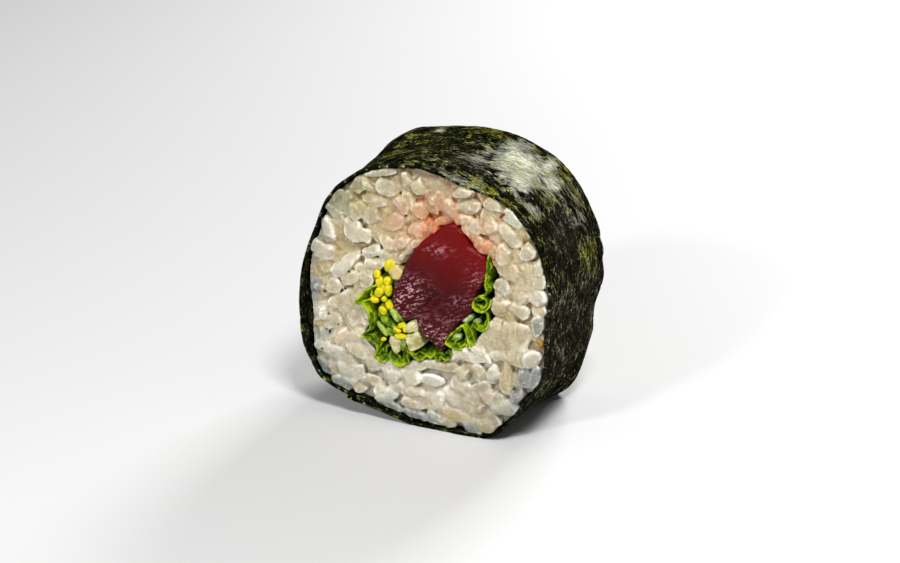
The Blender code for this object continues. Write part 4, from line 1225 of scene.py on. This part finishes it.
# Shoots at the shown face: place, length, width, heading in degrees, how far out, how pale
SHOOTS = (
    (-6.2, -4.2, 3.0, 1.3, -52, 0.1, 0.8), (-5.2, -4.1, 3.4, 0.7, -58, 0.1, 0.35),
    (-8.1, -5.6, 2.9, 1.7, -40, 0.05, 0.0), (-8.9, -7.4, 3.3, 1.0, -52, 0.0, 0.7),
    (-6.0, -7.6, 1.9, 1.3, -10, -0.2, 0.1), (-4.6, -9.9, 2.6, 1.3, 75, 0.0, 0.45),
    (-7.4, -7.9, 2.4, 1.2, -60, -0.3, 0.2), (-6.8, -6.5, 2.0, 1.2, -45, -0.4, 0.0),
    (-8.0, -4.2, 1.6, 0.9, -60, -0.4, 0.1), (-9.6, -4.6, 1.6, 0.8, 80, -0.6, 0.0),
    (-6.9, 4.3, 2.4, 1.4, -70, 0.0, 0.8),
)
# Buds of the shown face: place, length, width, heading in degrees, how far out
BUDS = (
    (-9.9, 3.2, 1.7, 1.4, 80, 0.1), (-9.4, 1.8, 2.3, 1.7, 100, 0.1),
    (-7.7, 2.3, 1.9, 1.6, 80, 0.2), (-7.6, 0.5, 2.3, 1.5, 85, 0.2),
    (-9.5, -0.1, 2.1, 1.8, 60, 0.25), (-10.4, -1.7, 1.8, 1.4, -5, 0.2),
    (-8.4, -1.3, 1.1, 1.1, 30, 0.2), (-7.4, -2.4, 1.9, 1.5, -50, 0.25),
    (-8.7, -3.6, 1.8, 1.6, -30, 0.2), (-4.8, -6.0, 1.7, 1.1, 25, 0.3),
    (-5.6, -6.9, 1.7, 0.8, -25, 0.35), (-4.1, -6.4, 0.8, 1.7, 10, 0.3),
    (-5.0, -8.2, 2.5, 1.2, 8, 0.4), (-8.6, -9.4, 1.1, 0.8, 15, 0.1),
    (-8.7, 0.9, 1.5, 1.2, 80, -0.1), (-7.3, 5.4, 2.7, 2.0, 65, 0.1),
)


def through_stem(x, z, width, height, heading, draw):
    """A soft rolled length of the bunch, its ends domed just inside the cut faces."""
    piece, ball = new_ball(24, 36)
    along = np.clip(ball[:, 2] * 1.9, -1, 1) * 0.95 + 0.05 * ball[:, 2]
    girth = np.clip(np.hypot(ball[:, 0], ball[:, 1]), 1e-6, None)
    full = smoothstep(girth / 0.7)
    way = np.stack([ball[:, 0] / girth, ball[:, 1] / girth, along * 3 + draw.uniform(0, 50)], 1)
    ridged = full * (1 + 0.20 * noises(way, (1.6, 1.6, 1.0)))
    a, b = ball[:, 0] / girth * width / 2 * ridged, ball[:, 1] / girth * height / 2 * ridged
    across, up = turned_to(heading, a, b)
    reach = ROLL_LENGTH / 2 - STEM_RECESS + draw.uniform(-0.3, 0.3)
    set_points(piece, placed(x + across, along * reach, z + up))
    set_colours(piece, "petal", np.tile([0.0, 0.1, 0.0], (len(ball), 1)))
    return piece


def fluted_bud(x, z, length, width, heading, out, side, draw):
    """A bud or an open petal, greener at its base, with a seam along each flute."""
    thick = min(width, length) * 0.95
    piece, ball = rounded_bit(x, z, length, width, heading, out, thick, side, draw)
    round_it = np.arctan2(ball[:, 1], ball[:, 0])
    seams = (1 - np.abs(np.cos(2 * round_it + draw.uniform(0, 3)))) ** 3
    points = points_of(piece)
    middle = points.mean(axis=0)
    points += (middle - points) * (0.16 * seams * (1 - ball[:, 2] ** 2))[:, None]
    points[:, 1] = np.clip(points[:, 1], -FACE_LIMIT * MM, FACE_LIMIT * MM)
    set_points(piece, points)
    set_colours(piece, "petal", np.stack([0.5 + 0.5 * ball[:, 2], seams, np.ones(len(seams))], 1))
    return piece


draw = random.Random(5)
pieces = [through_stem(*stem, draw) for stem in STEMS]
for side in (-1, 1):
    for *shoot, pale in SHOOTS:
        piece, ball = rounded_bit(*shoot, SHOOT_THICKNESS, side, draw)
        nought = np.zeros(len(ball))
        set_colours(piece, "petal", np.stack([0.5 + 0.5 * ball[:, 2], nought + pale, nought], 1))
        pieces.append(piece)
    for x, z, *bud in BUDS:
        stray = (0, 0) if side < 0 else (draw.uniform(-0.4, 0.4), draw.uniform(-0.4, 0.4))
        pieces.append(fluted_bud(x + stray[0], z + stray[1], *bud, side, draw))
greens_bunch = join(pieces)

material, tree, shader = new_material(
    "florets",
    Roughness=0.42,
    IOR=1.4,
    Specular_IOR_Level=0.2,
    Subsurface_Weight=0.25,
    Subsurface_Radius=(1.0, 0.8, 0.02),
    Subsurface_Scale=0.6 * MM,
    Coat_Weight=0.3,
    Coat_Roughness=0.12,
    Coat_IOR=1.35,
)
# Stored as nearness to the tip, a flute's seam or a shoot's paleness, and 1 on buds
tip, seam, bud = add(tree, "ShaderNodeSeparateColor", {0: stored(tree, "petal")}).outputs
place = object_place(tree)
veins = speckle(tree, place, 800.0, detail=3.0, roughness=0.6)
petals = mixed(tree, tip, (0.42, 0.42, 0.0), (0.80, 0.66, 0.0))
petals = mixed(tree, between(tree, veins, 0.45, 0.70), petals, (0.90, 0.78, 0.03))
petals = mixed(tree, times(tree, seam, 0.6), petals, (0.34, 0.31, 0.0))
greens = mixed(tree, between(tree, veins, 0.42, 0.60), (0.030, 0.090, 0.0), (0.25, 0.38, 0.004))
pales = mixed(tree, between(tree, veins, 0.40, 0.62), (0.20, 0.32, 0.03), (0.50, 0.60, 0.16))
greens = mixed(tree, seam, greens, pales)
cover(tree, shader, mixed(tree, bud, greens, petals), veins, 0.30)
finish_piece(greens_bunch, "flowering_greens", material, "florets", "florets")

# The stalks: four thick pale lengths of the greens, sliced, that lie along the roll. They are
# wet and see-through, with long fibres, blunt corners and soft uneven cut faces.
STALKS = {
    "stalk_top": (
        (-7.2, 4.9), (-6.4, 5.9), (-5.2, 5.4), (-4.5, 4.3), (-5.6, 2.9), (-7.0, 3.3),
    ),
    "stalk_upper": (
        (-3.9, -5.8), (-3.0, -5.1), (-2.1, -4.7), (-1.3, -6.3), (-2.4, -6.9), (-3.6, -7.2),
    ),
    "stalk_lower": (
        (-3.9, -7.9), (-2.8, -7.4), (-1.4, -6.6), (-0.4, -9.2), (-1.6, -10.2), (-3.2, -10.9),
    ),
    "stalk_side": (
        (-7.3, -8.7), (-6.1, -8.6), (-4.9, -9.0), (-4.8, -10.4), (-5.9, -11.9), (-6.8, -11.0),
    ),
}
STALK_VOXEL = 0.16
STALK_TRIANGLES = 16000

material, tree, shader = new_material(
    "stalk",
    Roughness=0.26,
    IOR=1.4,
    Subsurface_Weight=0.6,
    Subsurface_Radius=(1.0, 0.95, 0.5),
    Subsurface_Scale=1.1 * MM,
    Coat_Weight=0.6,
    Coat_Roughness=0.08,
)
place = object_place(tree)
cells = speckle(tree, place, 700.0, detail=4.0, roughness=0.6)
patchy = speckle(tree, place, 260.0)
colour = mixed(tree, between(tree, cells, 0.38, 0.62), (0.34, 0.31, 0.08), (0.78, 0.72, 0.46))
colour = mixed(tree, stored(tree, "warm"), colour, (0.72, 0.46, 0.16))
colour = mixed(tree, between(tree, patchy, 0.5, 0.7, 0.0, 0.6), colour, (0.42, 0.46, 0.06))
cover(tree, shader, colour, cells, 0.3)

for number, (name, corners) in enumerate(STALKS.items()):
    middle = np.mean(corners, axis=0)
    reach = ROLL_LENGTH / 2 + 0.05
    stalk = prism(closed_spline(corners, 60), -reach, reach)
    reskin(stalk, STALK_VOXEL, 6)
    points = about_axis(stalk)
    out = points[:, [0, 2]] - middle
    ridges = 0.16 * noises(points, (1.1, 0.12, 1.1), 3.0 * number)
    ridges += 0.06 * noises(points, (2.6, 0.3, 2.6), number)
    from_middle = np.clip(np.linalg.norm(out, axis=1), 0.3, None)
    points[:, [0, 2]] += out / from_middle[:, None] * ridges[:, None]
    on_end = np.sign(points[:, 1]) * smoothstep((np.abs(points[:, 1]) - reach + 1.0) / 0.8)
    dents = 0.30 * noises(points, (0.7, 0.1, 0.7), 9.0 + number)
    dents += 0.10 * noises(points, (1.9, 0.1, 1.9), 5.0)
    points[:, 1] = np.clip(points[:, 1] + on_end * dents, -FACE_LIMIT, FACE_LIMIT)
    set_points(stalk, placed(*points.T))
    thin_out(stalk, STALK_TRIANGLES)
    soaked = 0.6 if name == "stalk_top" else 0.0
    set_colours(stalk, "warm", np.full((len(stalk.data.vertices), 3), soaked))
    finish_piece(stalk, name + "_cut", material, "stalk", name)

# Crumbs on the shown cut face: dark flakes off the seaweed, a shred of tuna, and an amber crumb
# at the right edge. Each is stuck on the rice where it fell.

# Flakes: place and size
FLAKES = (
    (-21.3, -2.1, 0.65), (-20.6, -10.3, 0.85), (-21.0, -9.6, 0.5), (-22.0, -13.8, 0.5),
    (-3.8, 15.8, 0.6), (-13.0, 7.2, 0.5), (-15.8, 3.0, 0.75), (-17.5, -1.3, 0.9),
    (-16.9, -0.8, 0.6), (-20.6, -6.6, 0.5), (-18.6, -8.4, 0.4),
)


def crumb(x, z, length, width, thick, heading):
    """A ragged crumb, its middle on the surface of the rice at the shown face."""
    bpy.ops.mesh.primitive_ico_sphere_add(subdivisions=4, radius=1)
    piece = bpy.context.object
    ball = points_of(piece)
    torn = 0.45 * noises(ball, 1.3, x) + 0.15 * noises(ball, 3.5, z)
    ball *= (1 + torn)[:, None]
    across, up = turned_to(heading, ball[:, 0] * length / 2, ball[:, 2] * width / 2)
    before_rice = Vector(placed(x, -20.0, z))
    hit, spot, _, _ = front_rice.ray_cast(before_rice, Vector((0, 1, 0)))
    depth = spot.y / MM if hit else -ROLL_LENGTH / 2
    along = np.maximum(depth + ball[:, 1] * thick, -FACE_LIMIT)
    set_points(piece, placed(x + across, along, z + up))
    return piece


material, _, _ = new_material("flakes", Base_Color=(0.010, 0.012, 0.006, 1), Roughness=0.5)
flakes = []
for number, (x, z, size) in enumerate(FLAKES):
    flakes.append(crumb(x, z, size, size * 0.7, 0.12, 60 * number))
finish_piece(join(flakes), "seaweed_flakes", material, "nori")

material, _, _ = new_material("shred", Base_Color=(0.20, 0.012, 0.008, 1), Roughness=0.3)
finish_piece(crumb(15.6, 18.6, 1.7, 0.6, 0.2, 35), "tuna_shred", material, "tuna")

material, tree, shader = new_material(
    "amber", Roughness=0.25, Subsurface_Weight=0.5, Subsurface_Scale=1.0 * MM
)
spots = speckle(tree, object_place(tree), 900.0)
feed(tree, shader, Base_Color=mixed(tree, spots, (0.20, 0.09, 0.01), (0.50, 0.28, 0.03)))
finish_piece(crumb(23.0, -4.9, 1.5, 2.4, 0.8, 10), "amber_crumb", material, "rice")

# The view: a pale floor, soft studio light from behind, above and the front left, and the camera
# at the angle the piece was seen from. Lights and camera are placed in metres.
MIDDLE = Vector((0.0, 0.0, 0.026))
AZIMUTH = math.radians(25.0)
ELEVATION = math.radians(20.5)
DISTANCE = 0.472
FLOOR_GAP = 0.00005
TARGET = Vector(((AXIS_X - 0.34) * MM, -1.5 * MM, (AXIS_HEIGHT - 0.55) * MM))

bpy.ops.mesh.primitive_plane_add(size=4, location=(0, 0, -FLOOR_GAP))
floor = bpy.context.object
floor.name = "floor"
material, _, _ = new_material("floor", Base_Color=(0.72, 0.72, 0.72, 1), Roughness=0.6)
floor.data.materials.append(material)
floor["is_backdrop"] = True


def area_light(name, place, size, power):
    """A soft light that looks at the middle of the roll."""
    light = bpy.data.lights.new(name, "AREA")
    light.shape = "RECTANGLE"
    light.size, light.size_y = size
    light.energy = power
    lamp = bpy.data.objects.new(name, light)
    lamp.location = place
    lamp.rotation_euler = (MIDDLE - Vector(place)).to_track_quat("-Z", "Y").to_euler()
    bpy.context.scene.collection.objects.link(lamp)


area_light("back_light", (0.04, 0.50, 0.33), (0.20, 0.16), 2.6)
area_light("key_light", (0.20, -0.24, 0.48), (0.12, 0.12), 2.3)
area_light("fill_light", (-0.45, -0.40, 0.20), (0.4, 0.4), 0.35)
area_light("low_light", (-0.12, -0.52, 0.32), (0.07, 0.07), 1.45)
world = bpy.data.worlds.new("studio")
world.use_nodes = True
background = world.node_tree.nodes["Background"]
background.inputs["Color"].default_value = (1, 1, 1, 1)
background.inputs["Strength"].default_value = 0.15
bpy.context.scene.world = world
bpy.context.scene.view_settings.view_transform = "Standard"

level = math.cos(ELEVATION)
towards = Vector((math.sin(AZIMUTH) * level, -math.cos(AZIMUTH) * level, math.sin(ELEVATION)))
camera = bpy.data.objects.new("camera", bpy.data.cameras.new("camera"))
camera.data.lens = 100
camera.data.sensor_width = 36
camera.data.clip_start = 0.01
camera.location = TARGET + towards * DISTANCE
camera.rotation_euler = (-towards).to_track_quat("-Z", "Y").to_euler()
bpy.context.scene.collection.objects.link(camera)
bpy.context.scene.camera = camera

low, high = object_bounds()
sizes = {"cad": [list(cad_low), list(cad_high)], "visual": [list(low), list(high)]}
